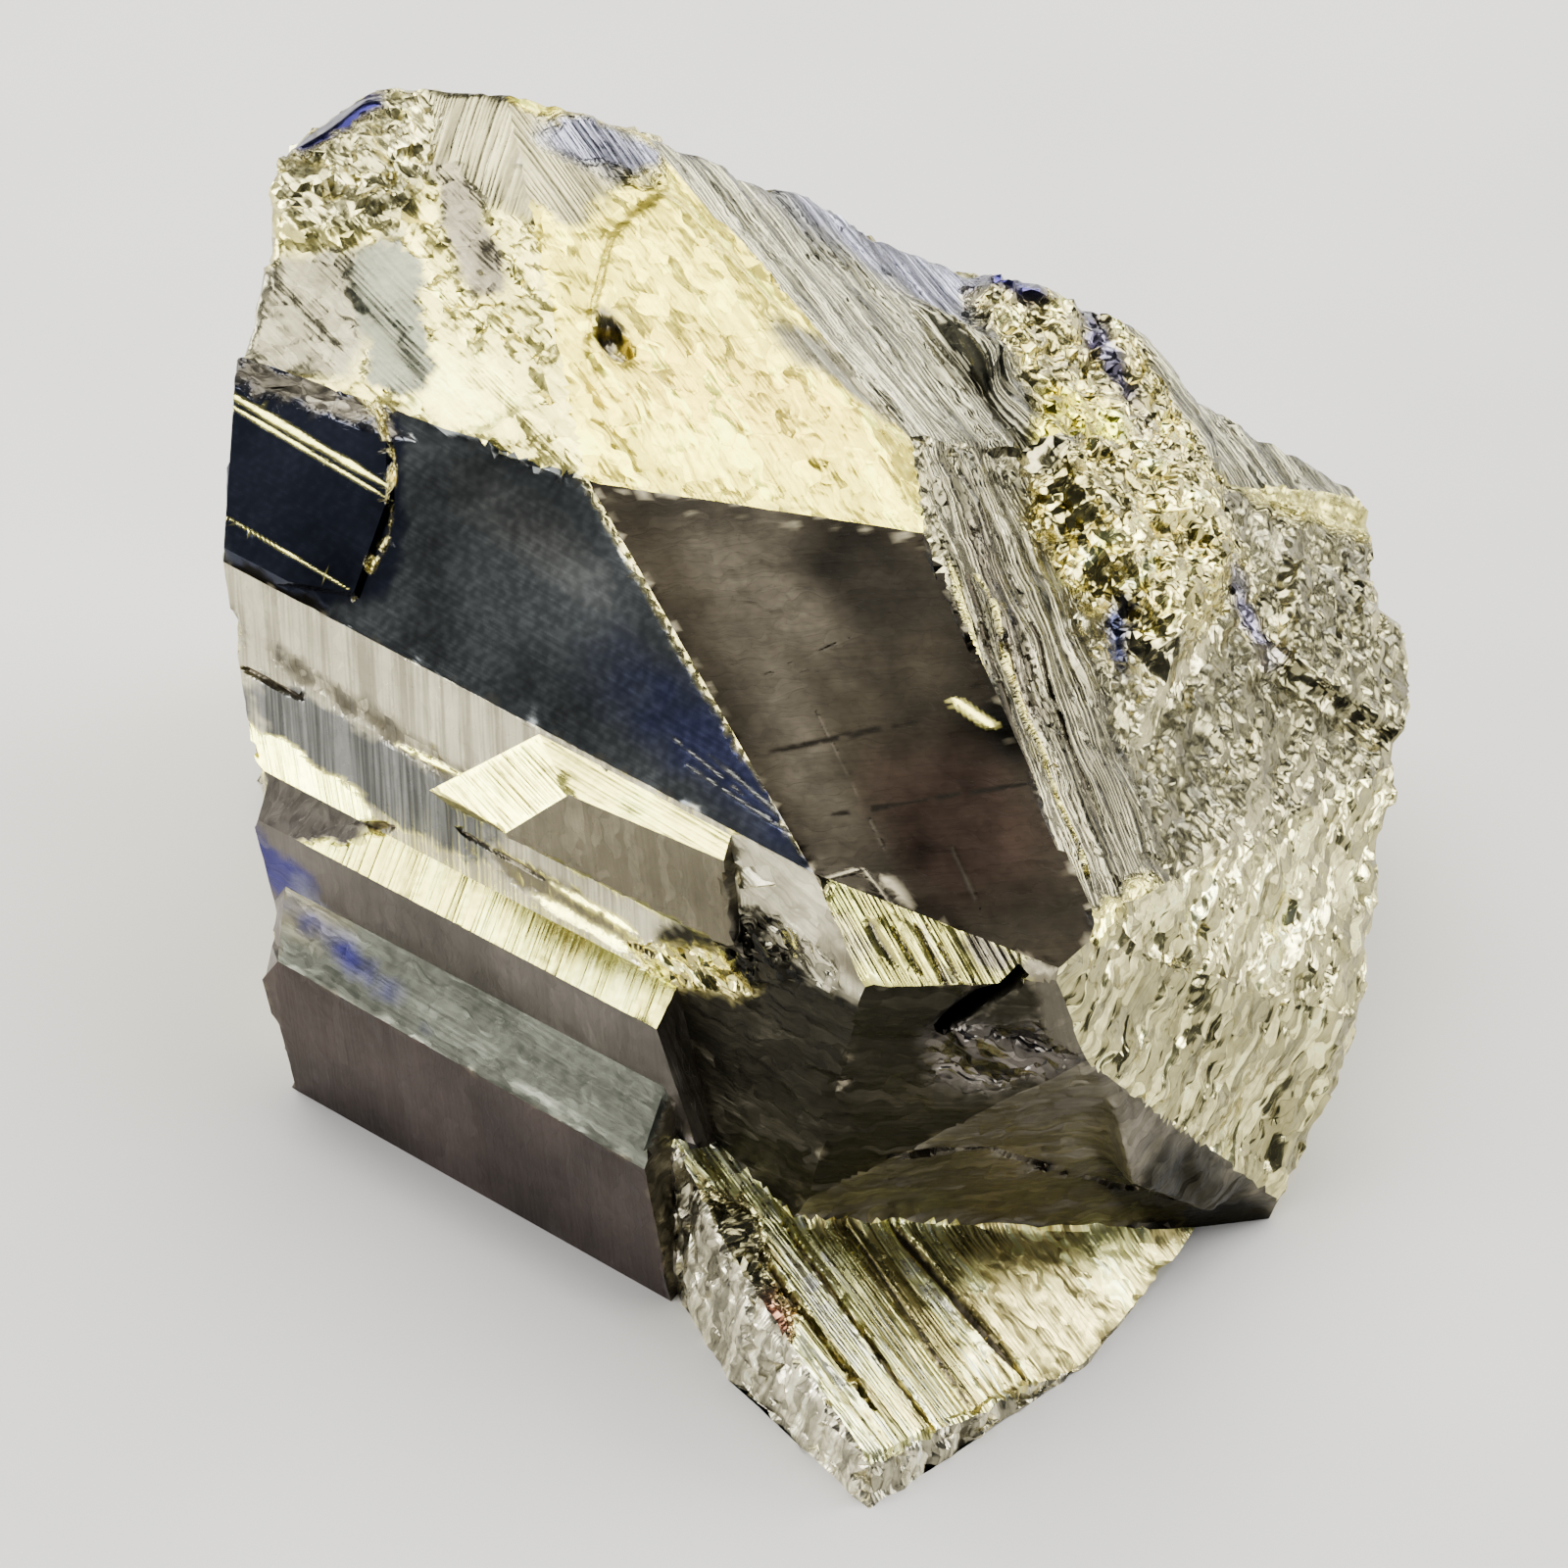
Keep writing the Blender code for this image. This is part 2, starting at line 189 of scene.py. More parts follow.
# A zone is an area of a face with another look: a rounded box with a middle, half its
# lengths and a turn in the face's own coordinates, and a soft edge so many mm wide.
Zone = namedtuple("Zone", "middle half turn soft look")
ZONES = {
    # The night, soot and twilight zones darken the dark pane further, partly tarnish and partly painted
    # dark reflection.
    "main, dark pane": [
        Zone((-19.8, 12.0), (4.1, 7.2), 30, 0.3, like(PANE, "night", roughness=0.14)),
        Zone((-19.2, 5.9), (3.6, 0.35), 2, 0.2, like(PANE, "soot", roughness=0.5)),
        Zone((-21.0, 13.9), (4.0, 0.6), 6, 0.2, FRONT._replace(grain=0.9, hackle=0.08, cell=0.7)),
        Zone((-8.5, 12.6), (0.7, 2.4), 80, 1.6, like(PANE, "slate", cloud=0.9)),
        Zone((3.6, 7.8), (1.5, 6.0), 80, 1.5, like(PANE, "twilight")),
    ],
    # The brown pane's zones vary a tint that is partly brown tarnish and partly painted dark reflection.
    "main, brown pane": [
        Zone((-3.4, 10.8), (6.4, 2.6), 80, 1.6, like(BROWN, "walnut", grain=0.2)),
        Zone((-8.0, 2.6), (5.6, 1.2), 72, 1.6, like(BROWN, "walnut", grain=0.15)),
        Zone((0.0, 6.6), (2.4, 3.0), 0, 1.8, like(BROWN, "soot")),
        Zone((-4.8, -4.0), (3.0, 3.6), -15, 2.0, like(BROWN, "sienna")),
        Zone((-10.4, -4.0), (1.5, 0.9), -40, 0.4, like(BROWN, "walnut", grain=0.3)),
    ],
    "main, front left": [
        Zone((-13.1, 15.0), (6.6, 1.9), -5, 0.25, like(RISER, "slate", relief=0.16)),
        Zone((-16.6, 12.9), (3.9, 1.1), -6, 0.2, TREAD._replace(lean=28)),
        Zone((-2.2, 13.5), (3.9, 0.7), -5, 0.2, BLOCK_FRONT),
        Zone((8.0, 8.0), (6.4, 8.6), 0, 0.5, PROW),
        Zone((4.0, 13.4), (3.0, 1.1), 25, 0.4, LOBE._replace(hackle=0.25)),
        Zone((11.6, 19.8), (2.6, 3.0), 0, 0.5, BLOCK_FRONT),
        Zone((8.2, 19.7), (3.0, 1.7), -15, 0.6, DUST),
        Zone((6.9, 16.1), (1.9, 1.7), 20, 0.6, like(LOBE, "peat", hackle=0.3)),
        Zone((9.6, 16.9), (1.8, 0.8), -15, 0.5, like(LOBE, "straw", hackle=0.2)),
        Zone((-13.0, 17.6), (6.0, 0.5), -8, 0.5, BLOCK_FRONT._replace(grain=0.8)),
    ],
    "main, striped bevel": [
        Zone((0.0, 12.6), (1.4, 3.0), 0, 0.5, like(LOBE, "bronze", hackle=0.4)),
        Zone((10.6, 10.8), (1.4, 1.2), 0, 0.4, BLOCK_FRONT),
        Zone((2.3, 11.6), (1.0, 0.6), -60, 0.3, like(BEVEL, "brass")),
        Zone((5.7, 10.9), (1.6, 0.26), -60, 0.3, like(BEVEL, "brass")),
        Zone((7.6, 11.2), (1.3, 0.7), -30, 0.4, like(BEVEL, "bronze")),
    ],
    "main, front": [
        Zone((8.0, 14.8), (3.1, 1.6), 10, 0.6, like(LOBE, "mauve", hackle=0.3)),
        Zone((11.0, 17.3), (1.6, 2.3), 15, 0.4, like(BLOCK_FRONT, "olive")),
    ],
    "main, left crown": [
        Zone((-21.4, 13.2), (6.4, 3.4), 10, 0.8, LINED_CROWN),
        Zone((-23.0, 1.2), (3.0, 3.6), 45, 0.8, like(CROWN, "steel", grain=0.3, hackle=0.06)),
        Zone((-14.8, 2.2), (3.0, 1.6), 5, 0.8, like(CROWN, "gold", grain=0.15, hackle=0.04)),
        Zone((-19.7, 3.3), (4.4, 1.4), 140, 0.25, like(CROWN, "fern", grain=0.1, hackle=0.0)),
        Zone((-20.3, 8.4), (3.6, 0.9), 150, 0.4, like(CROWN, "bronze", grain=0.2, hackle=0.05)),
        Zone((-18.1, 15.2), (3.4, 1.9), 25, 0.6, like(CROWN, "slate", grain=0.6)),
        Zone((-27.2, 8.3), (3.3, 4.0), 40, 0.8, like(CROWN, "brass", grain=0.9, hackle=0.3)),
        Zone((-29.6, 9.3), (2.6, 1.5), 80, 0.3, like(PANE, "cobalt")),
    ],
    "main, right crown": [
        Zone((3.6, 13.6), (2.6, 5.6), 20, 2.6, like(PLATE, "amber", grain=0.5)),
        Zone((8.4, 9.7), (1.3, 4.1), 0, 0.5, like(PLATE, "steel", grain=0.2)),
        Zone((10.4, 28.2), (2.6, 5.2), 0, 0.4, like(PLATE, "drab", grain=0.1, relief=0.15)),
        Zone((13.2, 24.6), (1.4, 2.6), 15, 0.8, BLUE_LINES),
        Zone((3.4, 19.3), (1.0, 0.6), 30, 0.5, like(PLATE, "bronze")),
    ],
    "main, upper slope": [
        Zone((20.5, 6.6), (5.2, 4.2), 60, 2.0, like(SLOPE, "violet")),
        Zone((10.2, -1.2), (8.4, 4.4), 10, 0.5, LOBE),
        Zone((7.8, 1.2), (3.0, 1.9), 165, 0.6, like(LOBE, "yolk", hackle=0.25)),
        # Cobalt and plum here: painted blue and violet shade between the lobe's flakes.
        Zone((19.2, 1.1), (2.6, 1.3), -25, 0.5, like(LOBE, "cobalt")),
        Zone((15.2, -2.4), (4.2, 0.7), 5, 0.6, like(LOBE, "plum")),
    ],
    "main, right slope": [
        Zone((-3.4, 5.5), (12.9, 3.6), 25, 0.5, BAND),
        Zone((-0.6, 7.9), (5.4, 0.7), 25, 0.4, like(BAND, "bronze")),
        Zone((9.3, 2.0), (4.6, 6.0), 70, 0.6, LOBE),
        # Twilight and plum here: painted blue and violet shade between the flakes.
        Zone((2.4, 2.3), (1.5, 0.5), 15, 0.5, like(LOBE, "twilight")),
        Zone((9.2, -4.2), (2.6, 0.6), 30, 0.5, like(BROKEN, "plum", angle=-11)),
        Zone((19.8, -5.4), (6.6, 2.6), 105, 0.8, CROWN._replace(grain=0.35, hackle=0.1)),
        Zone((-14.0, 0.4), (3.3, 1.2), -27, 0.4, CROWN._replace(grain=0.3, hackle=0.06)),
    ],
    "main, undercut": [
        Zone((13.6, 5.0), (8.5, 2.4), -60, 0.6, PROW),
    ],
    "main, right shoulder": [
        Zone((-8.3, 9.4), (3.1, 0.8), 0, 0.5, like(BROKEN, "cream", hackle=0.1)),
    ],
    "gold ledge, tread": [
        Zone((-17.0, -6.7), (6.0, 2.5), 37, 0.2, SHADOW_RISER),
    ],
    "grey ledge, tread": [
        Zone((-15.2, -6.0), (2.3, 1.1), 0, 0.9, like(GREY_TREAD, "steel", cloud=0.6)),
        Zone((-12.2, -6.6), (1.9, 0.35), -10, 0.8, like(GREY_TREAD, "indigo")),
    ],
    "gold ledge, riser": [
        Zone((-17.0, 10.4), (2.3, 1.4), -20, 0.8, like(PANE, "indigo", grain=0.2)),
        # A pale blue painted highlight on the riser, its normal also turned up to catch the light.
        Zone((-14.2, 8.8), (1.7, 0.9), -30, 0.8, like(PANE, "violet", grain=0.2, lean=12)),
    ],
    "foot, sole": [
        Zone((-11.0, -17.6), (3.6, 6.4), 45, 1.0, WORN_SOLE),
        Zone((-21.6, -4.8), (4.6, 2.0), 40, 0.6, like(LOBE, "drab", hackle=0.15)),
        Zone((-21.4, -6.8), (1.4, 0.9), 30, 0.6, like(LOBE, "rust", hackle=0.15)),
    ],
}

# A mark is a thin line on a face, from one place to another, standing out or sunk in by its
# relief. The broken share of it is missing, in patches.
Mark = namedtuple("Mark", "start end width relief broken look")
BRIGHT = TREAD._replace(relief=0.0, lean=20)
GLINT = BRIGHT._replace(lean=28)
SMEAR = like(BRIGHT, "slate", lean=17)
SCRATCH = like(BROWN, "walnut")
# Near-black streaks across the brown pane, darker still than its partly painted dark reflection.
DARK_STREAK = like(BROWN, "soot", cloud=0.0)
SLIVER = like(BROWN, "bronze")
GLEAM = TREAD._replace(relief=0.0, lean=0)
RIM = like(GLEAM, "cream")
# DARK: pitch lines, most of them sunk in, painted shade in cracks and grooves.
DARK = like(FRONT, "pitch", hackle=0.0, relief=0.0)
FOLD = like(BEVEL, "bronze", relief=0.0)
BEADS = LOBE._replace(hackle=0.0, grain=0.5, lean=16)
MARKS = {
    "main, dark pane": [
        Mark((-25.4, 12.5), (-15.6, 11.8), 0.12, 0.02, 0.0, BRIGHT),
        Mark((-24.6, 12.05), (-15.3, 11.35), 0.07, 0.02, 0.0, BRIGHT),
        Mark((-22.2, 7.8), (-15.2, 7.3), 0.05, 0.02, 0.0, BRIGHT),
        Mark((-19.0, 15.5), (-16.1, 12.9), 0.12, 0.02, 0.3, BEADS),
        Mark((-16.1, 12.9), (-14.8, 10.1), 0.11, 0.02, 0.35, BEADS),
        Mark((-14.8, 10.1), (-15.0, 7.0), 0.15, 0.02, 0.5, BEADS),
        Mark((-22.9, 15.9), (-17.0, 14.2), 0.25, 0.04, 0.4, BEADS),
        Mark((-8.8, 16.3), (9.7, 5.4), 0.32, 0.1, 0.25, BEADS),
        Mark((0.8, 7.7), (5.1, 6.8), 0.07, 0.02, 0.2, SMEAR),
        Mark((2.7, 7.7), (9.0, 6.3), 0.10, 0.02, 0.1, SMEAR),
        Mark((4.8, 7.2), (10.4, 6.0), 0.11, 0.02, 0.1, SMEAR),
        Mark((2.1, 6.9), (7.3, 6.3), 0.07, 0.02, 0.2, SMEAR),
        Mark((6.2, 7.2), (9.6, 6.7), 0.07, 0.02, 0.2, SMEAR),
    ],
    "main, brown pane": [
        Mark((-6.2, 3.3), (-8.5, -4.0), 0.07, -0.03, 0.4, SCRATCH),
        Mark((-7.0, 5.5), (-2.6, 4.9), 0.07, -0.03, 0.4, SCRATCH),
        Mark((-5.8, -4.7), (-6.9, -7.8), 0.08, -0.03, 0.3, SCRATCH),
        Mark((-9.9, 2.9), (-2.0, 0.0), 0.12, 0.0, 0.35, DARK_STREAK),
        Mark((-9.0, -1.0), (-1.1, -4.4), 0.12, 0.0, 0.3, DARK_STREAK),
        Mark((-1.0, 0.3), (-0.5, -1.7), 0.22, 0.08, 0.1, GLEAM),
        Mark((-9.3, -4.3), (-9.2, -6.0), 0.34, 0.05, 0.0, SLIVER),
        Mark((-9.7, -3.6), (-9.9, -6.0), 0.13, 0.04, 0.0, SLIVER),
        Mark((-11.6, -3.0), (-9.9, -3.5), 0.10, 0.04, 0.1, SLIVER),
        Mark((-11.2, -4.4), (-10.1, -5.5), 0.14, 0.04, 0.1, SLIVER),
    ],
    "main, front left": [
        Mark((-19.9, 16.8), (-16.6, 16.8), 0.14, -0.2, 0.0, DARK),
        Mark((-15.0, 10.9), (-11.7, 12.6), 0.2, -0.2, 0.0, DARK),
        Mark((-11.6, 17.0), (-5.7, 17.2), 0.14, 0.06, 0.2, GLINT),
        Mark((-8.1, 14.2), (-3.5, 14.0), 0.12, -0.1, 0.1, DARK),
        Mark((-3.5, 14.0), (1.1, 13.8), 0.22, 0.05, 0.1, GLINT),
        Mark((-4.2, 12.9), (0.7, 12.7), 0.3, 0.05, 0.0, GLINT),
    ],
    "main, striped bevel": [
        Mark((3.0, 12.3), (4.2, 10.4), 0.18, -0.04, 0.0, FOLD),
        Mark((4.0, 12.0), (5.3, 10.0), 0.07, -0.03, 0.1, FOLD),
        Mark((4.9, 12.2), (6.5, 9.3), 0.07, -0.03, 0.1, FOLD),
        Mark((5.4, 12.2), (7.0, 9.5), 0.05, -0.03, 0.2, FOLD),
        Mark((3.5, 12.2), (4.7, 10.2), 0.22, 0.05, 0.0, BEVEL),
        Mark((4.5, 12.2), (5.9, 9.7), 0.22, 0.05, 0.0, BEVEL),
        Mark((6.0, 12.2), (7.3, 9.7), 0.14, 0.05, 0.0, BEVEL),
    ],
    "main, right slope": [
        Mark((0.5, 11.2), (-15.2, 3.3), 0.14, 0.03, 0.0, RIM),
        Mark((1.3, 10.8), (-14.8, 2.8), 0.13, -0.03, 0.1, DARK),
        Mark((0.9, 9.4), (-12.2, 2.4), 0.10, 0.03, 0.2, RIM),
        Mark((2.2, 8.0), (-10.2, 1.4), 0.09, -0.03, 0.2, DARK),
    ],
    "main, undercut": [
        Mark((-2.2, 17.3), (0.8, 17.3), 0.14, -0.3, 0.0, DARK),
        Mark((-4.8, 14.0), (3.3, 13.6), 0.12, -0.25, 0.2, DARK),
        Mark((3.3, 13.6), (12.1, 7.0), 0.12, -0.25, 0.3, DARK),
    ],
    "main, front": [
        Mark((1.9, 13.1), (-0.9, 11.6), 0.2, -0.3, 0.0, DARK),
    ],
    "block, front": [
        Mark((-3.2, 22.4), (4.9, 21.2), 0.16, 0.05, 0.1, GLINT),
    ],
    "foot, sole": [
        Mark((-13.6, -8.1), (-16.4, -16.6), 0.2, -0.3, 0.0, DARK),
        Mark((-17.1, -4.9), (-21.6, -15.3), 0.15, -0.25, 0.1, DARK),
        Mark((-14.9, -6.6), (-19.1, -15.3), 0.13, -0.2, 0.2, DARK),
        Mark((-18.9, -4.4), (-22.4, -12.3), 0.15, -0.25, 0.2, DARK),
    ],
}

# Each random field has its own salt, which makes it unlike the others.
CHIP_SALT, SMALL_CHIP_SALT = 5, 6
GROWTH_SALT = 10
LUMP_SALT, SMALL_LUMP_SALT = 40, 60
WANDER_SALT, BREAK_SALT = 72, 73
CLOUD_SALT, SPECK_SALT = 90, 95

# The noise that frays a zone's border: each layer's height, its cell's width and its salt.
FRAY = ((0.35, 0.9, 70), (0.15, 0.3, 71))

# How a mark wanders, thins toward its ends and breaks up.
WANDER_SHARE = 0.5  # of the mark's width
WANDER_CELL = 1.2
TAPER_RATE = 8  # the mark has its whole width an eighth of its length from an end
THINNEST = 0.15  # squared share of the width at an end
BREAK_CELL = 0.45
BREAK_SHARPNESS = 6


def direction(facing, tilt):
    """The unit vector toward a facing and a tilt."""
    facing, tilt = math.radians(facing), math.radians(tilt)
    level = math.cos(tilt)
    return np.array([level * math.sin(facing), -level * math.cos(facing), math.sin(tilt)])


def axes_of(face):
    """A face's outward direction, its level line to the right, and its slope upward."""
    out = direction(face.facing, face.tilt)
    turn = math.radians(face.facing)
    level = np.array([math.cos(turn), math.sin(turn), 0.0])
    return out, level, np.cross(out, level)


def across_and_along(face, angle, points):
    """Distances across and along lines that run at an angle on a face."""
    _, level, upward = axes_of(face)
    angle = math.radians(angle)
    along = math.cos(angle) * level + math.sin(angle) * upward
    across = math.cos(angle) * upward - math.sin(angle) * level
    return points @ across, points @ along


def zone_cover(face, zone, points):
    """How far each point is in a zone, from 0 to 1. The zone is a box with rounded corners: the
    fourth powers of the shares of its half lengths are added, and the fourth root is taken.
    Noise a few tenths of a millimetre high frays its border."""
    _, level, upward = axes_of(face)
    turn = math.radians(zone.turn)
    right, up = points @ level - zone.middle[0], points @ upward - zone.middle[1]
    long = (math.cos(turn) * right + math.sin(turn) * up) / zone.half[0]
    wide = (math.cos(turn) * up - math.sin(turn) * right) / zone.half[1]
    reach = (long**4 + wide**4) ** 0.25
    inside = (1 - reach) * min(zone.half)
    inside += sum(height * smooth_noise(points / cell, salt) for height, cell, salt in FRAY)
    return np.clip(inside / zone.soft + 0.5, 0, 1)


def mark_cover(face, mark, points):
    """How far each point is in a mark, from 0 to 1. The gap is the distance from the point to
    the mark's line, with some noise. The cover is 1.5 less the gap over the tapered width, cut
    off at 0 and 1, and it is cut away where noise falls below the mark's broken share."""
    _, level, upward = axes_of(face)
    place = np.stack([points @ level, points @ upward], axis=1)
    start, way = np.array(mark.start), np.array(mark.end) - np.array(mark.start)
    part = np.clip((place - start) @ way / (way @ way), 0, 1)
    wander = WANDER_SHARE * mark.width * smooth_noise(points / WANDER_CELL, WANDER_SALT)
    gap = np.linalg.norm(place - start - part[:, None] * way, axis=1) + wander
    taper = np.sqrt(np.clip(np.minimum(part, 1 - part) * TAPER_RATE, THINNEST, 1))
    cover = np.clip(1.5 - np.abs(gap) / (mark.width * taper), 0, 1)
    if mark.broken:
        kept = smooth_noise(points / BREAK_CELL, BREAK_SALT) * 0.5 + 0.5
        cover *= np.clip((kept - mark.broken) * BREAK_SHARPNESS, 0, 1)
    return cover


def layers_of(name, face, points):
    """The looks on a face, each with how far it covers the points and its relief."""
    for zone in ZONES.get(name, ()):
        yield zone.look, zone_cover(face, zone, points), 0.0
    for mark in MARKS.get(name, ()):
        yield mark.look, mark_cover(face, mark, points), mark.relief


# ---- random fields


def random_at(cells, salt):
    """A random number from 0 to 1 for each whole-number cell: its coordinates are multiplied
    by large primes, combined, and scrambled twice."""
    cells = cells.astype(np.int64)
    mixed = cells[..., 0] * 73856093 ^ cells[..., 1] * 19349663 ^ cells[..., 2] * 83492791
    mixed = (mixed ^ salt * 2654435761) & 0xFFFFFFFF
    mixed = (mixed ^ (mixed >> 15)) * 0x2C1B3C6D & 0xFFFFFFFF
    mixed = (mixed ^ (mixed >> 12)) * 0x297A2D39 & 0xFFFFFFFF
    return (mixed ^ (mixed >> 15)) / 0xFFFFFFFF


def smooth_noise(points, salt):
    """A smooth random field from -1 to 1 with cells one unit wide: random numbers at the eight
    corners of each point's cell, blended by the eased distance to them."""
    cell = np.floor(points)
    part = points - cell
    part = part * part * (3 - 2 * part)
    total = np.zeros(len(points))
    for corner in np.ndindex(2, 2, 2):
        offset = np.array(corner)
        weight = np.prod(np.where(offset == 1, part, 1 - part), axis=1)
        total += weight * random_at(cell + offset, salt)
    return 2 * total - 1


def layered_noise(points, salt, layers):
    """Smooth noise in layers, each half the height and twice as fine as the last."""
    return sum(smooth_noise(points * 2**k, salt + k) / 2**k for k in range(layers))


SEAM_WIDTH = 0.25  # share of a lump


def broken_cells(points, salt):
    """Broken lumps one unit wide. Each point belongs to its nearest seed, one seed at a random
    place in every cell. A lump's height is its own random step plus its own random slope times
    the way from its seed. Returns that height and how near the point is to a seam, 1 on it."""
    cell = np.floor(points)
    best = np.full(len(points), 1e9)
    second = np.full(len(points), 1e9)
    owner = np.zeros_like(points)
    seed_at = np.zeros_like(points)
    for corner in np.ndindex(3, 3, 3):
        here = cell + np.array(corner) - 1
        seed = here + np.stack([random_at(here, salt + k) for k in range(3)], axis=1)
        gap = np.linalg.norm(points - seed, axis=1)
        nearer = gap < best
        second = np.where(nearer, best, np.minimum(second, gap))
        best = np.where(nearer, gap, best)
        owner[nearer] = here[nearer]
        seed_at[nearer] = seed[nearer]
    step = 2 * random_at(owner, salt + 3) - 1
    slope = np.stack([2 * random_at(owner, salt + 4 + k) - 1 for k in range(3)], axis=1)
    height = 0.5 * step + np.sum(slope * (points - seed_at), axis=1)
    seam = np.clip(1 - (second - best) / SEAM_WIDTH, 0, 1)
    return height, seam


STEPS_PER_UNIT = 2.5
RISER_START, RISER_WIDTH = 0.35, 0.3  # where a step's riser is, as shares of the step


def growth_lines(across, along, spacing, salt):
    """Growth lines as a height of about -1 to 1. Noise that is very long along the lines is cut
    into flat steps with narrow risers, and a finer layer runs over it."""
    level = np.zeros_like(across)
    broad_place = np.stack([across / spacing, along / (spacing * 14), level], axis=1)
    fine_place = np.stack([across * 3 / spacing, along / (spacing * 8), level], axis=1)
    steps = smooth_noise(broad_place, salt) * STEPS_PER_UNIT
    edge = steps - np.floor(steps)
    steps = (np.floor(steps) + np.clip((edge - RISER_START) / RISER_WIDTH, 0, 1)) / STEPS_PER_UNIT
    return 0.75 * steps + 0.35 * smooth_noise(fine_place, salt + 1)


# ---- fine mesh

SPLIT_PASSES = 8
BROAD_PASSES = 3  # the first passes, which even out the solid's own triangles
SPLIT_OVER = 1.4  # how many times its limit an edge may be
IN_VIEW = -0.15  # a triangle turned this little away from the camera is still in view
SAME_PLACE = 1e-7  # m
FLAT_ANGLE = 1e-3  # radians

# Mesh edges by what is drawn on a face, in millimetres.
PLAIN_EDGE = 20.0
BORDER_EDGE = 0.2
SHARP_BORDER = 0.5  # a zone's border softer than this needs no finer mesh
MARK_MARGIN = 0.12
MARK_EDGE_SHARE = 0.8  # of a mark's width
SHORTEST_EDGE = 0.09


def view_direction():
    """The way from the stone to the camera."""
    return direction(0, CAMERA_DOWN)


def finest_edge(points):
    """How short a mesh edge should be at each point, in millimetres: less by a thin mark or
    by a zone's sharp border than where nothing is drawn."""
    label = surface_of(points)
    short = np.full(len(points), PLAIN_EDGE)
    for number, (name, face) in enumerate(zip(NAMES, SURFACES)):
        mine = np.flatnonzero(label == number)
        for zone in ZONES.get(name, ()) if len(mine) else ():
            cover = zone_cover(face, zone, points[mine])
            border = (cover > 0) & (cover < 1) & (zone.soft < SHARP_BORDER)
            short[mine[border]] = BORDER_EDGE
        for mark in MARKS.get(name, ()) if len(mine) else ():
            wider = mark._replace(width=mark.width + MARK_MARGIN, broken=0.0)
            near = mine[mark_cover(face, wider, points[mine]) > 0]
            short[near] = np.minimum(short[near], max(SHORTEST_EDGE, MARK_EDGE_SHARE * mark.width))
    return short


def split_finely(node, settings):
    """The node's triangles, split in passes until their edges are short. An edge is halved where
    it is longer than its limit, which is lower in view and by what is drawn on the face.
    Returns corners in millimetres, and triangles."""
    bm = bmesh.new()
    bm.from_mesh(node.data)
    bmesh.ops.remove_doubles(bm, verts=bm.verts, dist=SAME_PLACE)
    toward = Vector(view_direction())
    bmesh.ops.triangulate(bm, faces=bm.faces)
    for number in range(SPLIT_PASSES):
        bm.normal_update()
        if number < BROAD_PASSES:
            inner = [edge for edge in bm.edges if len(edge.link_faces) == 2]
            flat = [edge for edge in inner if edge.calc_face_angle() < FLAT_ANGLE]
            bmesh.ops.beautify_fill(bm, faces=bm.faces, edges=flat, method="ANGLE")
        shown = [face.normal.dot(toward) > IN_VIEW for face in bm.faces]
        bm.faces.index_update()
        edges = list(bm.edges)
        seen = np.array([any(shown[face.index] for face in edge.link_faces) for edge in edges])
        length = np.array([edge.calc_length() for edge in edges])
        limit = np.where(seen, settings.front_mesh, settings.back_mesh)
        if number >= BROAD_PASSES:
            middles = np.array([(edge.verts[0].co + edge.verts[1].co) / 2 for edge in edges]) / MM
            limit[seen] = np.minimum(limit[seen], MM * finest_edge(middles[seen]))
        too_long = [edges[k] for k in np.flatnonzero(length > SPLIT_OVER * limit)]
        if not too_long:
            break
        bmesh.ops.subdivide_edges(bm, edges=too_long, cuts=1)
        bmesh.ops.triangulate(bm, faces=bm.faces)
    bm.verts.index_update()
    corners = np.array([vert.co for vert in bm.verts]) / MM
    triangles = np.array([[vert.index for vert in face.verts] for face in bm.faces])
    bm.free()
    return corners, triangles


def surface_of(points):
    """The number of the face that each point lies on. A point belongs to the crystal that it
    is least outside of, and there to the face that it is farthest out on."""
    best = np.full(len(points), 1e9)
    label = np.zeros(len(points), dtype=int)
    first = 0
    for faces in CRYSTALS.values():
        gaps = np.stack([points @ direction(f.facing, f.tilt) - f.distance for f in faces.values()])
        reach = gaps.max(axis=0)
        nearer = reach < best
        label[nearer] = first + gaps.argmax(axis=0)[nearer]
        best = np.where(nearer, reach, best)
        first += len(faces)
    return label


def normals_of(corners, triangles):
    """Each corner's outward direction: the mean of its triangles', weighted by their area."""
    a, b, c = (corners[triangles[:, k]] for k in range(3))
    flat = np.cross(b - a, c - a)
    out = np.zeros_like(corners)
    for k in range(3):
        for axis in range(3):
            out[:, axis] += np.bincount(triangles[:, k], flat[:, axis], len(corners))
    return out / np.maximum(np.linalg.norm(out, axis=1, keepdims=True), 1e-12)


def relaxed(corners, triangles, share, passes):
    """The corners, each moved by its share toward the mean of its neighbours, in passes."""
    sides = np.concatenate([triangles[:, [0, 1]], triangles[:, [1, 2]], triangles[:, [2, 0]]])
    count = np.bincount(sides[:, 0], minlength=len(corners))[:, None]
    for _ in range(passes):
        ends = corners[sides[:, 1]]
        sums = [np.bincount(sides[:, 0], ends[:, axis], len(corners)) for axis in range(3)]
        corners = corners + share[:, None] * (np.stack(sums, axis=1) / np.maximum(count, 1) - corners)
    return corners


# ---- relief

FINEST_STEP = 1.2  # lines closer than this are left to the material
SETTLE = 0.6  # how far the solid's broad facets are eased before the fine relief
SETTLE_PASSES = 7
SETTLED_HACKLE = 0.04  # a face with this hackle or more is eased in full
BASE_MARGIN = 0.3  # nothing this near the base is eased
ON_BASE = 1e-4

SMALL_LUMP = 0.45  # size of the small lumps beside the large ones
LUMP_HEIGHT, SEAM_DEPTH = 0.8, 0.35
SMALL_LUMP_HEIGHT, SMALL_SEAM_DEPTH = 0.35, 0.12

CHIP_REACH = 0.5
CHIP_CELL, SMALL_CHIP_CELL = 0.7, 0.25


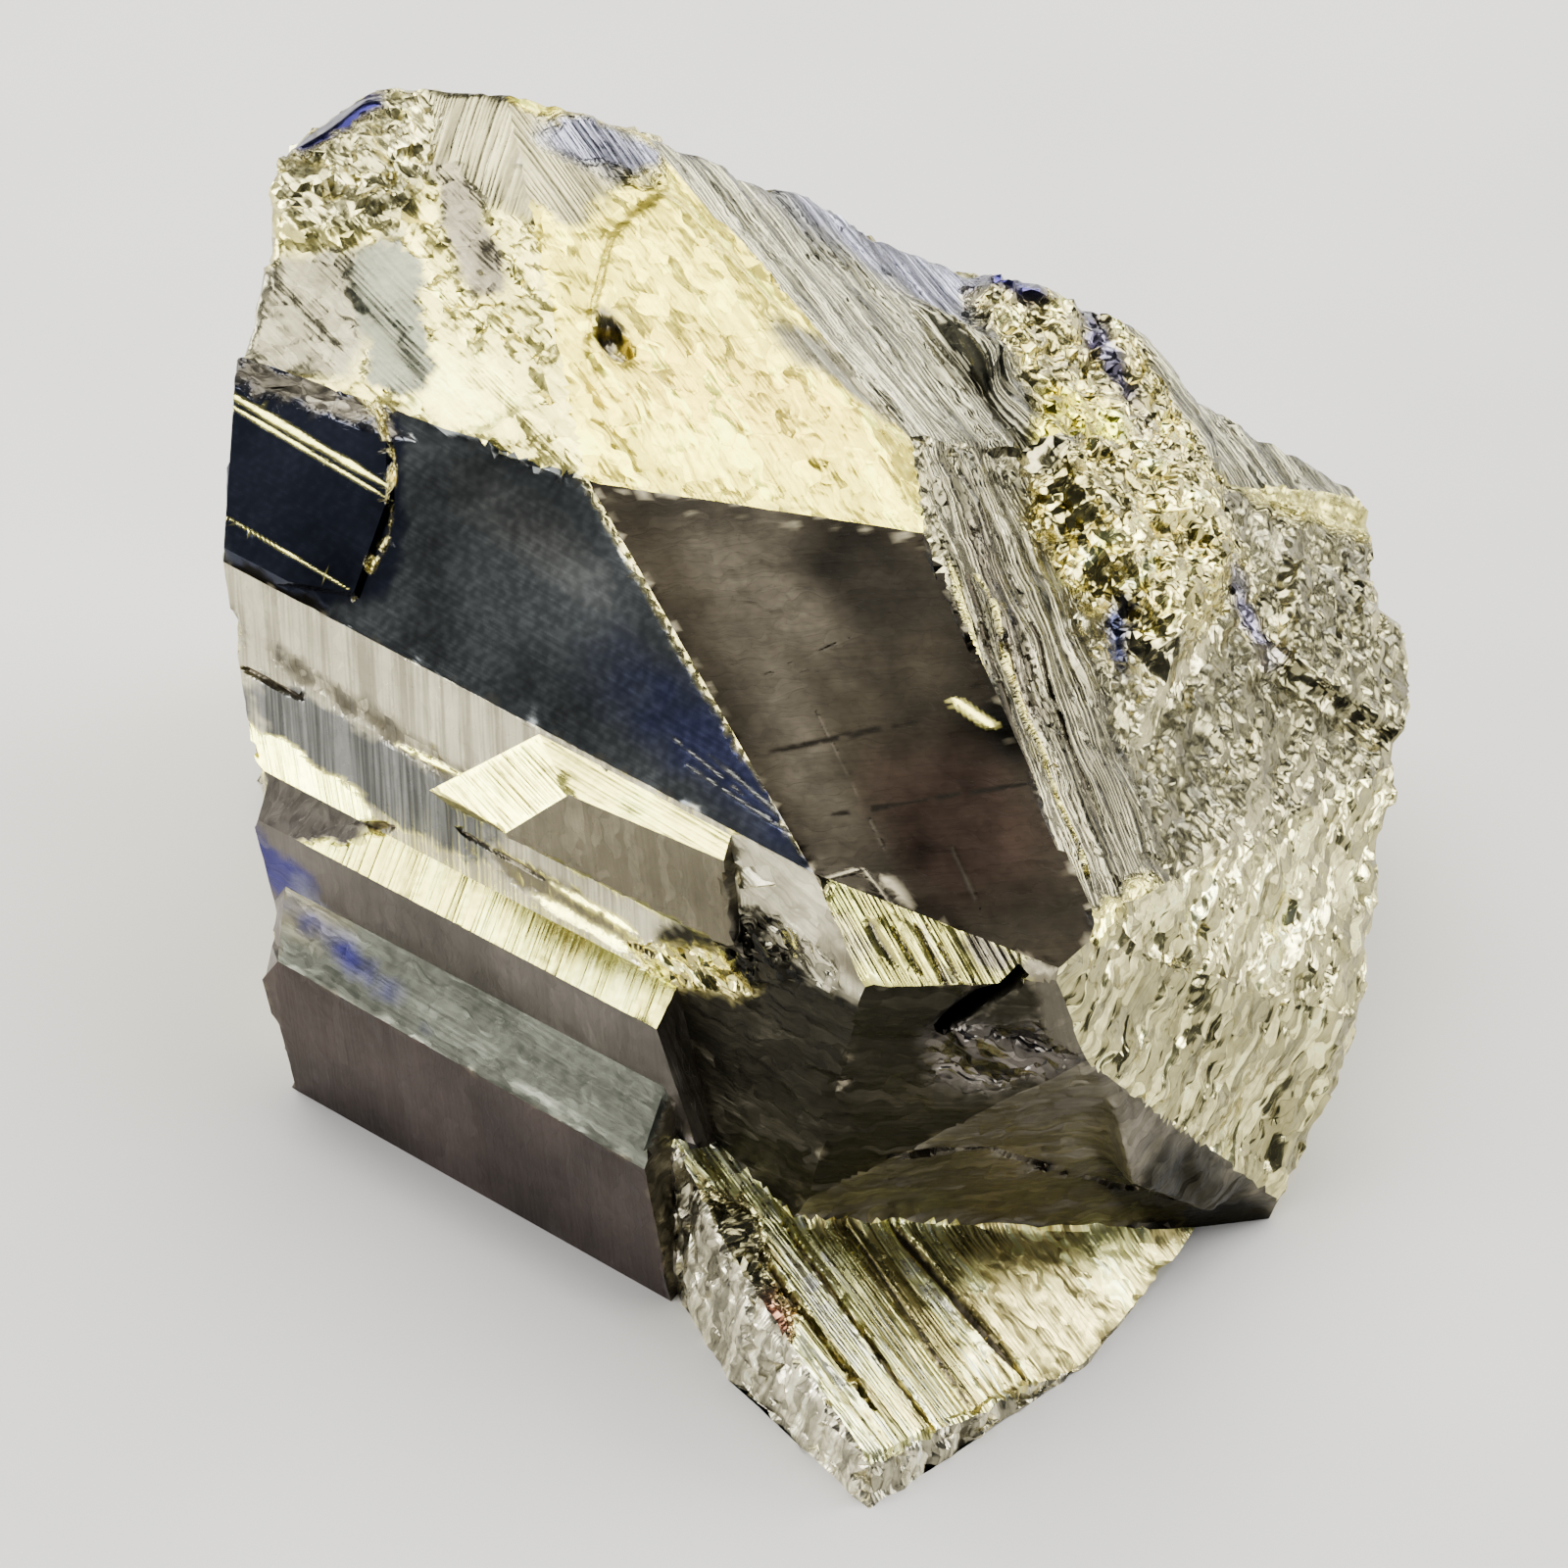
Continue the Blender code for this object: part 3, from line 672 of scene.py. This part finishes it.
def edge_nearness(corners, label, width):
    """How near each point is to the edge of its own face, 1 on it and 0 a width away: the gap
    between the two farthest faces of its crystal."""
    near = np.zeros(len(corners))
    first = 0
    for faces in CRYSTALS.values():
        mine = (label >= first) & (label < first + len(faces))
        gaps = np.stack([corners[mine] @ direction(f.facing, f.tilt) - f.distance for f in faces.values()])
        gaps.sort(axis=0)
        near[mine] = np.clip(1 - (gaps[-1] - gaps[-2]) / width, 0, 1)
        first += len(faces)
    return near


def height_for(look, face, points):
    """How far a look stands out of a face at each point, in millimetres: its growth lines times
    its relief, and its large and small lumps less their seams, times its hackle."""
    across, along = across_and_along(face, look.angle, points)
    height = np.zeros(len(points))
    if look.spacing >= FINEST_STEP:
        height += look.relief * growth_lines(across, along, look.spacing, GROWTH_SALT)
    if look.hackle:
        outward = points @ direction(face.facing, face.tilt)
        cells = np.stack([across, along / look.stretch, outward], axis=1)
        lump, seam = broken_cells(cells / look.cell, LUMP_SALT)
        small, small_seam = broken_cells(cells / (SMALL_LUMP * look.cell), SMALL_LUMP_SALT)
        broken = LUMP_HEIGHT * lump - SEAM_DEPTH * seam
        height += look.hackle * (broken + SMALL_LUMP_HEIGHT * small - SMALL_SEAM_DEPTH * small_seam)
    return height


def relief_of(corners, label):
    """How far each point stands out of its face, in millimetres. Each layer pulls the height
    toward its own by how far it covers the point."""
    height = np.zeros(len(corners))
    for number, (name, face) in enumerate(zip(NAMES, SURFACES)):
        mine = np.flatnonzero(label == number)
        if not len(mine):
            continue
        points = corners[mine]
        height[mine] = height_for(face.look, face, points)
        for look, cover, raised in layers_of(name, face, points):
            part = cover > 0
            if part.any():
                there = mine[part]
                step = height_for(look, face, points[part]) + raised
                height[there] += cover[part] * (step - height[there])
    return height


def carve(corners, triangles, settings):
    """The corners eased and then moved outward by the relief of their faces, less the chips
    along the edges: the chips' depth times the nearness to an edge times noise."""
    label = surface_of(corners)
    hackle = np.array([face.look.hackle for face in SURFACES])[label]
    eased = np.clip(hackle / SETTLED_HACKLE, 0, 1) * (corners[:, 2] > BASE_MARGIN)
    corners = relaxed(corners, triangles, SETTLE * eased, SETTLE_PASSES)
    outward = normals_of(corners, triangles)
    height = relief_of(corners, label)
    near = edge_nearness(corners, label, CHIP_REACH)
    chip = smooth_noise(corners / CHIP_CELL, CHIP_SALT)
    chip = chip + 0.35 * smooth_noise(corners / SMALL_CHIP_CELL, SMALL_CHIP_SALT)
    height -= settings.edge_chip / MM * near * np.clip(chip, 0, 1)
    moved = corners + outward * height[:, None]
    moved[:, 2] = np.maximum(moved[:, 2], 0.0)
    moved[corners[:, 2] < ON_BASE, 2] = 0.0
    return moved


# ---- colour and finish

FLECK_DRAW = 0.57  # what a look's stretch divides, to give how its flecks are drawn out
VALUE_COUNT = 11
FACE_STEP = 7.0  # sets the noise of one face apart from the next's
CLOUD_CELL, CLOUD_LAYERS = 4.0, 4
SPECK_CELL, SPECK_REACH = 0.35, 0.15
SPECK_SHARE = 0.7
SHARP_ANGLE = 28.0


def values_of(look, face, tints):
    """A look's tint, finish (roughness, line relief, grain and how much its flecks are drawn
    out), cloud and turned-up normal offset."""
    _, level, upward = axes_of(face)
    lean = math.radians(look.lean)
    offset = (math.cos(lean) - 1) * direction(face.facing, face.tilt) + math.sin(lean) * upward
    finish = (look.roughness, look.relief, look.grain, FLECK_DRAW / look.stretch)
    return np.array([*tints[look.tint], *finish, look.cloud, *offset])


def paint(corners, triangles, settings):
    """Values at each triangle's three corners: tint, finish, the distances across and along the
    lines of its face, and the offset of its normal. Each layer pulls the values toward its own
    by how far it covers the corner. The tint is scaled by its cloud, and specks near the edges
    of the faces are bronze."""
    tints = {name: tuple(getattr(settings, name)) for name in TINTS}
    label = np.repeat(surface_of(corners[triangles].mean(axis=1)), 3)
    points = corners[triangles.ravel()]
    values = np.zeros((len(points), VALUE_COUNT))
    lines = np.zeros_like(points)
    for number, (name, face) in enumerate(zip(NAMES, SURFACES)):
        mine = np.flatnonzero(label == number)
        if not len(mine):
            continue
        here = points[mine]
        values[mine] = values_of(face.look, face, tints)
        angles = np.full(len(mine), float(face.look.angle))
        for look, cover, _ in layers_of(name, face, here):
            values[mine] += cover[:, None] * (values_of(look, face, tints) - values[mine])
            whole = np.repeat(cover.reshape(-1, 3).mean(axis=1) > 0.5, 3)
            angles[whole] = look.angle
        for angle in np.unique(angles):
            part = angles == angle
            across, along = across_and_along(face, angle, here[part])
            lines[mine[part]] = np.stack([across, along, np.full(part.sum(), FACE_STEP * number)], axis=1)
    cloud = layered_noise(points / CLOUD_CELL, CLOUD_SALT, CLOUD_LAYERS)
    tint = values[:, :3] * np.clip(1 + (values[:, 7] * cloud)[:, None], 0.1, 2)
    near = edge_nearness(points, label, SPECK_REACH)
    speck = np.clip(smooth_noise(points / SPECK_CELL, SPECK_SALT) * 3 - 0.9, 0, 1) * near
    tint = tint + (np.array(tints["bronze"]) - tint) * (SPECK_SHARE * speck)[:, None]
    tint = np.hstack([np.clip(tint, 0, 1), np.ones((len(tint), 1))])
    return {"tint": tint, "finish": values[:, 3:7], "lines": lines, "lean": values[:, 8:]}


def build_mesh(name, corners, triangles, settings):
    """A mesh of the triangles, which carries the painted values as attributes."""
    mesh = bpy.data.meshes.new(name)
    mesh.from_pydata((corners * MM).tolist(), [], triangles.tolist())
    mesh.update()
    for title, values in paint(corners, triangles, settings).items():
        kind, key = ("FLOAT_COLOR", "color") if title in ("tint", "finish") else ("FLOAT_VECTOR", "vector")
        layer = mesh.attributes.new(title, kind, "CORNER")
        layer.data.foreach_set(key, values.astype(np.float32).ravel())
    mesh.shade_smooth()
    mesh.set_sharp_from_angle(angle=math.radians(SHARP_ANGLE))
    return mesh


# ---- material

COARSE_FACETS, FINE_FACETS = 1.7, 4.0  # cells in a millimetre
SEAM_HALF_WIDTH = 0.06
THIN_RIDGES = 7.0  # in a millimetre
ALONG_LINES = (1.0, 0.03, 1.0)
IN_PLANE = (1.0, 1.0, 0.0)
BEND = (0.9, 0.9, 0.9)
RIDGE_HEIGHT = 1.3  # times the look's relief
FULL_STRIPES = 4.0  # what the relief is multiplied by, up to 1, to give the stripes' strength
FLOOR_MOTTLE = 0.94  # darkest share of the floor's colour

class Nodes:
    """Adds shader nodes and links them in one call each."""

    def __init__(self, material):
        material.use_nodes = True
        self.tree = material.node_tree
        self.shader = self.tree.nodes["Principled BSDF"]

    def add(self, kind, links=None, **settings):
        node = self.tree.nodes.new("ShaderNode" + kind)
        for key, value in settings.items():
            setattr(node, key, value)
        for socket, value in (links or {}).items():
            self.put(node.inputs[socket], value)
        return node

    def put(self, socket, value):
        if isinstance(value, bpy.types.NodeSocket):
            self.tree.links.new(value, socket)
        else:
            socket.default_value = value

    def math(self, operation, first, second):
        return self.add("Math", {0: first, 1: second}, operation=operation).outputs[0]

    def vector(self, operation, first, second=(0, 0, 0)):
        node = self.add("VectorMath", {0: first, 1: second}, operation=operation)
        return node.outputs["Value" if operation == "DOT_PRODUCT" else "Vector"]

    def scaled(self, vector, size):
        node = self.add("VectorMath", {0: vector, "Scale": size}, operation="SCALE")
        return node.outputs["Vector"]

    def noise(self, vector, scale, detail=0.0, roughness=0.5):
        inputs = {"Vector": vector, "Scale": scale, "Detail": detail, "Roughness": roughness}
        return self.add("TexNoise", inputs).outputs["Fac"]

    def ramp(self, value, low, high, to_low=0.0, to_high=1.0):
        """The value's place between low and high, carried over to between to_low and to_high."""
        inputs = {"Value": value, "From Min": low, "From Max": high, "To Min": to_low, "To Max": to_high}
        return self.add("MapRange", inputs).outputs["Result"]


def facets(nodes, place, scale):
    """Flat facets: in each Voronoi cell of the face's plane, a random slope times the way from
    its seed, and one random number for the cell."""
    cells = nodes.add("TexVoronoi", {"Vector": place, "Scale": scale}, voronoi_dimensions="2D")
    way = nodes.vector("SUBTRACT", place, cells.outputs["Position"])
    way = nodes.vector("MULTIPLY", way, IN_PLANE)
    slope = nodes.vector("SUBTRACT", cells.outputs["Color"], (0.5, 0.5, 0.5))
    parts = nodes.add("SeparateColor", {"Color": cells.outputs["Color"]})
    return nodes.vector("DOT_PRODUCT", way, slope), parts.outputs[2]


def seams(nodes, place, scale):
    """The gaps between the same cells, darkened in the colour as painted shade in the creases: 0 in a gap,
    1 in a cell.
    """
    kind = {"voronoi_dimensions": "2D", "feature": "DISTANCE_TO_EDGE"}
    gaps = nodes.add("TexVoronoi", {"Vector": place, "Scale": scale}, **kind)
    return nodes.ramp(gaps.outputs["Distance"], 0.0, SEAM_HALF_WIDTH)


def make_ridges(nodes, lines):
    """Ridges from 0 to 1: wide and thin noise, drawn out along the lines."""
    drawn = nodes.vector("MULTIPLY", lines, ALONG_LINES)
    wide = nodes.noise(drawn, 1.0, 2.0, 0.7)
    thin = nodes.noise(drawn, THIN_RIDGES)
    return nodes.math("ADD", nodes.math("MULTIPLY", wide, 0.65), nodes.math("MULTIPLY", thin, 0.35))


def make_flecks(nodes, lines, draw):
    """The place that the facets are drawn on: the face's lines, drawn out and bent by noise."""
    place = nodes.add("TexCoord").outputs["Object"]
    place = nodes.scaled(place, 1 / MM)
    swirl = nodes.add("TexNoise", {"Vector": place, "Scale": 1.1, "Detail": 0.0}).outputs["Color"]
    stretch = nodes.add("CombineXYZ", {"X": 1.0, "Y": draw, "Z": 1.0}).outputs["Vector"]
    bent = nodes.vector("MULTIPLY_ADD", swirl, BEND)
    nodes.put(bent.node.inputs[2], nodes.vector("MULTIPLY", lines, stretch))
    return place, bent


def make_pyrite():
    """Metal with the tint, roughness, lines and facets that the mesh's attributes ask for."""
    material = bpy.data.materials.new("pyrite")
    nodes = Nodes(material)
    tint = nodes.add("Attribute", attribute_name="tint").outputs["Color"]
    finish = nodes.add("Attribute", attribute_name="finish")
    lines = nodes.add("Attribute", attribute_name="lines").outputs["Vector"]
    lean = nodes.add("Attribute", attribute_name="lean").outputs["Vector"]
    parts = nodes.add("SeparateColor", {"Color": finish.outputs["Color"]})
    rough, relief, grain = (parts.outputs[k] for k in range(3))

    # The height of the bump: ridges by the relief, and facets by the grain.
    ridges = make_ridges(nodes, lines)
    place, bent = make_flecks(nodes, lines, finish.outputs["Alpha"])
    coarse, coarse_shade = facets(nodes, bent, COARSE_FACETS)
    fine, fine_shade = facets(nodes, bent, FINE_FACETS)
    ridge_height = nodes.math("MULTIPLY", ridges, nodes.math("MULTIPLY", relief, RIDGE_HEIGHT))
    grains = nodes.math("ADD", nodes.math("MULTIPLY", coarse, 0.8), nodes.math("MULTIPLY", fine, 0.4))
    height = nodes.math("ADD", ridge_height, nodes.math("MULTIPLY", grains, grain))
    leaned = nodes.vector("ADD", nodes.add("NewGeometry").outputs["Normal"], lean)
    leaned = nodes.vector("NORMALIZE", leaned)
    bump = nodes.add("Bump", {"Height": height, "Strength": 1.0, "Distance": MM, "Normal": leaned})

    # The colour: the tint, mottled by dirt and by facets brightened and darkened at random as painted
    # glints and shade, darkened in the seams as painted shade, and striped by the ridges with painted
    # shade in the grooves and painted highlight on the ridges.
    # Facets brightened and darkened at random: painted glints and painted shade standing in for sparkle.
    coarse_part = nodes.math("MULTIPLY", coarse_shade, 0.7)
    glitter = nodes.math("ADD", coarse_part, nodes.math("MULTIPLY", fine_shade, 0.3))
    patches = nodes.ramp(glitter, 0.4, 0.8, 0.62, 1.9)
    dirt = nodes.ramp(nodes.noise(place, 1.4, 2.0, 0.7), 0.35, 0.6, 0.7, 1.1)
    # Painted shade in the seams between the facets.
    gaps = nodes.ramp(seams(nodes, bent, COARSE_FACETS), 0.0, 1.0, 0.6, 1.0)
    broken = nodes.math("MULTIPLY", nodes.math("MULTIPLY", patches, dirt), gaps)
    mottled = nodes.ramp(nodes.math("MINIMUM", grain, 1.0), 0.0, 1.0, 1.0, broken)
    # Stripes: painted shade in the grooves and painted highlight on the ridges.
    stripe = nodes.ramp(ridges, 0.42, 0.58, 0.28, 1.65)
    striped = nodes.math("MINIMUM", nodes.math("MULTIPLY", relief, FULL_STRIPES), 1.0)
    shade = nodes.math("MULTIPLY", mottled, nodes.ramp(striped, 0.0, 1.0, 1.0, stripe))
    nodes.put(nodes.shader.inputs["Base Color"], nodes.scaled(tint, shade))

    wear = nodes.ramp(nodes.noise(place, 3.0), 0.3, 0.7, -0.03, 0.05)
    nodes.shader.inputs["Metallic"].default_value = 1.0
    nodes.put(nodes.shader.inputs["Roughness"], nodes.math("ADD", rough, wear))
    nodes.put(nodes.shader.inputs["Normal"], bump.outputs["Normal"])
    return material


def make_floor_material(settings):
    """Pale matt board with a faint mottle."""
    material = bpy.data.materials.new("pale_board")
    nodes = Nodes(material)
    place = nodes.add("TexCoord").outputs["Object"]
    mottle = nodes.ramp(nodes.noise(place, 60.0, 1.0, 0.6), 0.3, 0.7, FLOOR_MOTTLE, 1.0)
    nodes.put(nodes.shader.inputs["Base Color"], nodes.scaled(tuple(settings.floor), mottle))
    nodes.shader.inputs["Roughness"].default_value = 0.7
    return material


# ---- objects


def link(name, data):
    """A new object in the scene."""
    obj = bpy.data.objects.new(name, data)
    bpy.context.scene.collection.objects.link(obj)
    return obj


def add_cluster(settings):
    """The dressed stone, in place of its solid."""
    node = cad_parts[NODE]
    corners, triangles = split_finely(node, settings)
    corners = carve(corners, triangles, settings)
    mesh = build_mesh("pyrite_surface", corners, triangles, settings)
    mesh.materials.append(make_pyrite())
    stone = link("pyrite_surface", mesh)
    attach(stone, "root")
    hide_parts(NODE)
    print("triangles", len(triangles))


# Each softbox's place and size (m) and its power (W).
Softbox = namedtuple("Softbox", "place size power colour", defaults=((1.0, 1.0, 1.0),))
SOFTBOXES = {
    "top": Softbox((0.06, 0.28, 0.60), (0.95, 0.52), 14.5, (1.0, 0.985, 0.94)),
    "right": Softbox((0.58, 0.20, 0.25), (0.26, 0.30), 4.0),
    "back": Softbox((0.28, 0.66, 0.12), (0.40, 0.12), 1.6),
    "back_left": Softbox((-0.50, 0.46, 0.14), (0.34, 0.20), 4.0),
    "left": Softbox((-0.62, -0.18, 0.20), (0.60, 0.22), 6.5),
    "haze": Softbox((-0.45, -0.15, 0.42), (0.36, 0.36), 0.16),
    "front": Softbox((-0.12, -0.72, 0.10), (0.50, 0.10), 2.3),
}
WORLD_COLOUR = (0.055, 0.06, 0.075, 1.0)
FLOOR_SIDES = 96


def add_softbox(name, softbox, share):
    """A rectangular light with a share of its power, turned to the stone's middle."""
    light = bpy.data.lights.new(name, "AREA")
    light.shape = "RECTANGLE"
    light.size, light.size_y = softbox.size
    light.energy = share * softbox.power
    light.color = softbox.colour
    obj = link(name, light)
    obj.location = softbox.place
    aim = Vector(STONE_MIDDLE) - Vector(softbox.place)
    obj.rotation_euler = aim.to_track_quat("-Z", "Y").to_euler()


def add_floor(settings):
    """A round floor, centred under the stone."""
    bm = bmesh.new()
    bmesh.ops.create_circle(bm, cap_ends=True, segments=FLOOR_SIDES, radius=settings.floor_radius)
    mesh = bpy.data.meshes.new("floor")
    bm.to_mesh(mesh)
    bm.free()
    mesh.materials.append(make_floor_material(settings))
    link("floor", mesh)


def add_camera():
    """The camera, at its distance from its target and turned down to it."""
    camera = bpy.data.cameras.new("camera")
    camera.lens = CAMERA_LENS
    camera.sensor_width = SENSOR_WIDTH
    camera.clip_start = NEAREST_SEEN
    obj = link("camera", camera)
    obj.location = (np.array(CAMERA_TARGET) + CAMERA_DISTANCE * view_direction()) * MM
    obj.rotation_euler = (math.radians(90 - CAMERA_DOWN), 0, 0)
    bpy.context.scene.camera = obj


def add_world():
    """A dim bluish room."""
    world = bpy.data.worlds.new("studio")
    world.use_nodes = True
    background = world.node_tree.nodes["Background"]
    background.inputs["Color"].default_value = WORLD_COLOUR
    background.inputs["Strength"].default_value = 1.0
    bpy.context.scene.world = world


def add_stage(settings):
    """The floor, the room, the softboxes and the camera."""
    add_floor(settings)
    add_world()
    for name, softbox in SOFTBOXES.items():
        add_softbox(f"{name}_softbox", softbox, settings.light_power)
    add_camera()


# ---- add-on


def colour(name, description, default):
    """A colour that a user may change."""
    return bpy.props.FloatVectorProperty(
        name=name, description=description, default=default, subtype="COLOR", min=0.0, max=1.0
    )


class PyriteSettings(bpy.types.PropertyGroup):
    """Sizes and metal colours of the stone, some of them painted shade and painted reflection."""

    edge_chip: bpy.props.FloatProperty(
        name="Edge chips", description="Depth of the chips along the edges", default=0.00007, unit="LENGTH"
    )
    front_mesh: bpy.props.FloatProperty(
        name="Front mesh",
        description="Longest mesh edge on the faces in view",
        default=0.00042,
        unit="LENGTH",
    )
    back_mesh: bpy.props.FloatProperty(
        name="Back mesh", description="Longest mesh edge on the other faces", default=0.0008, unit="LENGTH"
    )
    # Night, navy and twilight: the large pane's tints, partly dark tarnish and partly painted dark
    # reflection.
    night: colour("Night", "Darkest part of the large pane", (0.03, 0.034, 0.05))
    navy: colour("Navy", "Large dark pane", (0.070, 0.076, 0.075))
    twilight: colour("Twilight", "Bluish foot of the large pane", (0.045, 0.05, 0.10))
    indigo: colour("Indigo", "Deep blue tarnish", (0.045, 0.042, 0.15))
    # Cobalt is also used as painted blue shade between the lobe's flakes.
    cobalt: colour("Cobalt", "Darkest blue tarnish", (0.025, 0.022, 0.12))
    # Plum: painted violet shade between the lobe's flakes.
    plum: colour("Plum", "Dark violet streaks in the lobe", (0.10, 0.09, 0.13))
    # Violet is also a painted pale highlight on the gold ledge's riser.
    violet: colour("Violet", "Pale blue tarnish", (0.20, 0.203, 0.26))
    # Umber, soot, walnut and sienna: the brown pane's tints, partly brown tarnish and partly painted dark
    # reflection.
    umber: colour("Umber", "Brown pane", (0.0075, 0.0062, 0.0042))
    soot: colour("Soot", "Dark streaks on the brown pane", (0.004, 0.0034, 0.0025))
    walnut: colour("Walnut", "Paler parts of the brown pane", (0.017, 0.0145, 0.0105))
    sienna: colour("Sienna", "Reddish part of the brown pane", (0.0095, 0.0062, 0.0045))
    # Olive and peat: painted shade on the undercut and the front.
    olive: colour("Olive", "Front and undercut", (0.095, 0.085, 0.064))
    peat: colour("Peat", "Prow", (0.02, 0.018, 0.012))
    # Pitch: painted shade in cracks and grooves.
    pitch: colour("Pitch", "Cracks and grooves", (0.09, 0.075, 0.05))
    steel: colour("Steel", "Lined grey faces", (0.20, 0.185, 0.115))
    straw: colour("Straw", "Lined riser at the left", (0.50, 0.465, 0.32))
    haze: colour("Haze", "Upper slope", (0.24, 0.228, 0.15))
    slate: colour("Slate", "Dull grey patches", (0.14, 0.142, 0.13))
    brass: colour("Brass", "Broken faces", (0.58, 0.53, 0.25))
    drab: colour("Drab", "Broken right slope", (0.26, 0.237, 0.125))
    sand: colour("Sand", "Lined top of the foot", (1.0, 0.86, 0.32))
    gold: colour("Gold", "Brightest faces", (1.0, 0.92, 0.25))
    amber: colour("Amber", "Warmer middle of the crown's plate", (0.84, 0.66, 0.09))
    butter: colour("Butter", "Smooth plate of the crown", (0.87, 0.74, 0.10))
    lemon: colour("Lemon", "Broken lobe", (0.66, 0.58, 0.21))
    fern: colour("Fern", "Greenish lens in the crown", (0.14, 0.145, 0.10))
    yolk: colour("Yolk", "Yellow patch in the broken slope", (0.80, 0.70, 0.07))
    cream: colour("Cream", "Crown and bright specks", (0.74, 0.66, 0.19))
    # Maroon and mauve: painted shade on the risers.
    maroon: colour("Maroon", "Lowest riser", (0.068, 0.052, 0.046))
    mauve: colour("Mauve", "Middle riser", (0.12, 0.107, 0.092))
    sage: colour("Sage", "Grey-green tread", (0.125, 0.13, 0.10))
    bronze: colour("Bronze", "Block front and rough pits", (0.17, 0.15, 0.10))
    rust: colour("Rust", "Rusty spot on the foot", (0.22, 0.10, 0.06))


class StageSettings(bpy.types.PropertyGroup):
    """Size, colour and light of the stage."""

    with_stage: bpy.props.BoolProperty(
        name="Stage", description="Add floor, lights and camera", default=True
    )
    floor_radius: bpy.props.FloatProperty(
        name="Floor radius", description="Radius of the round floor", default=1.6, unit="LENGTH"
    )
    light_power: bpy.props.FloatProperty(
        name="Light",
        description="Share of the softboxes' power",
        default=1.0,
        subtype="FACTOR",
        min=0.0,
        max=4.0,
    )
    floor: colour("Floor", "Pale board under the stone", (0.64, 0.63, 0.61))


SETTINGS = PyriteSettings.__annotations__
TINTS = [name for name, prop in SETTINGS.items() if prop.keywords.get("subtype") == "COLOR"]


class PYRITE_OT_cluster(bpy.types.Operator):
    """Add the pyrite cluster's surface"""

    bl_idname = "pyrite.add_cluster"
    bl_label = "Add pyrite cluster"

    def execute(self, context):
        add_cluster(context.scene.pyrite)
        return {"FINISHED"}


class PYRITE_OT_stage(bpy.types.Operator):
    """Add the floor, the lights and the camera"""

    bl_idname = "pyrite.add_stage"
    bl_label = "Add stage"

    def execute(self, context):
        add_stage(context.scene.pyrite_stage)
        return {"FINISHED"}


class PYRITE_PT_panel(bpy.types.Panel):
    """The cluster's and the stage's settings, each group with its button."""

    bl_idname = "PYRITE_PT_panel"
    bl_label = "Pyrite cluster"
    bl_space_type = "VIEW_3D"
    bl_region_type = "UI"
    bl_category = "Pyrite"

    def draw(self, context):
        for settings, operator in (
            (context.scene.pyrite, "pyrite.add_cluster"),
            (context.scene.pyrite_stage, "pyrite.add_stage"),
        ):
            for name in settings.__annotations__:
                self.layout.prop(settings, name)
            self.layout.operator(operator)


CLASSES = (PyriteSettings, StageSettings, PYRITE_OT_cluster, PYRITE_OT_stage, PYRITE_PT_panel)


def register():
    """Makes the classes and the scene's settings known."""
    for cls in CLASSES:
        bpy.utils.register_class(cls)
    bpy.types.Scene.pyrite = bpy.props.PointerProperty(type=PyriteSettings)
    bpy.types.Scene.pyrite_stage = bpy.props.PointerProperty(type=StageSettings)


def unregister():
    """Takes away what register adds."""
    del bpy.types.Scene.pyrite_stage
    del bpy.types.Scene.pyrite
    for cls in reversed(CLASSES):
        bpy.utils.unregister_class(cls)


def main():
    """Builds the stone and the stage."""
    register()
    bpy.ops.pyrite.add_cluster()
    if bpy.context.scene.pyrite_stage.with_stage:
        bpy.ops.pyrite.add_stage()


if __name__ == "__main__":
    main()
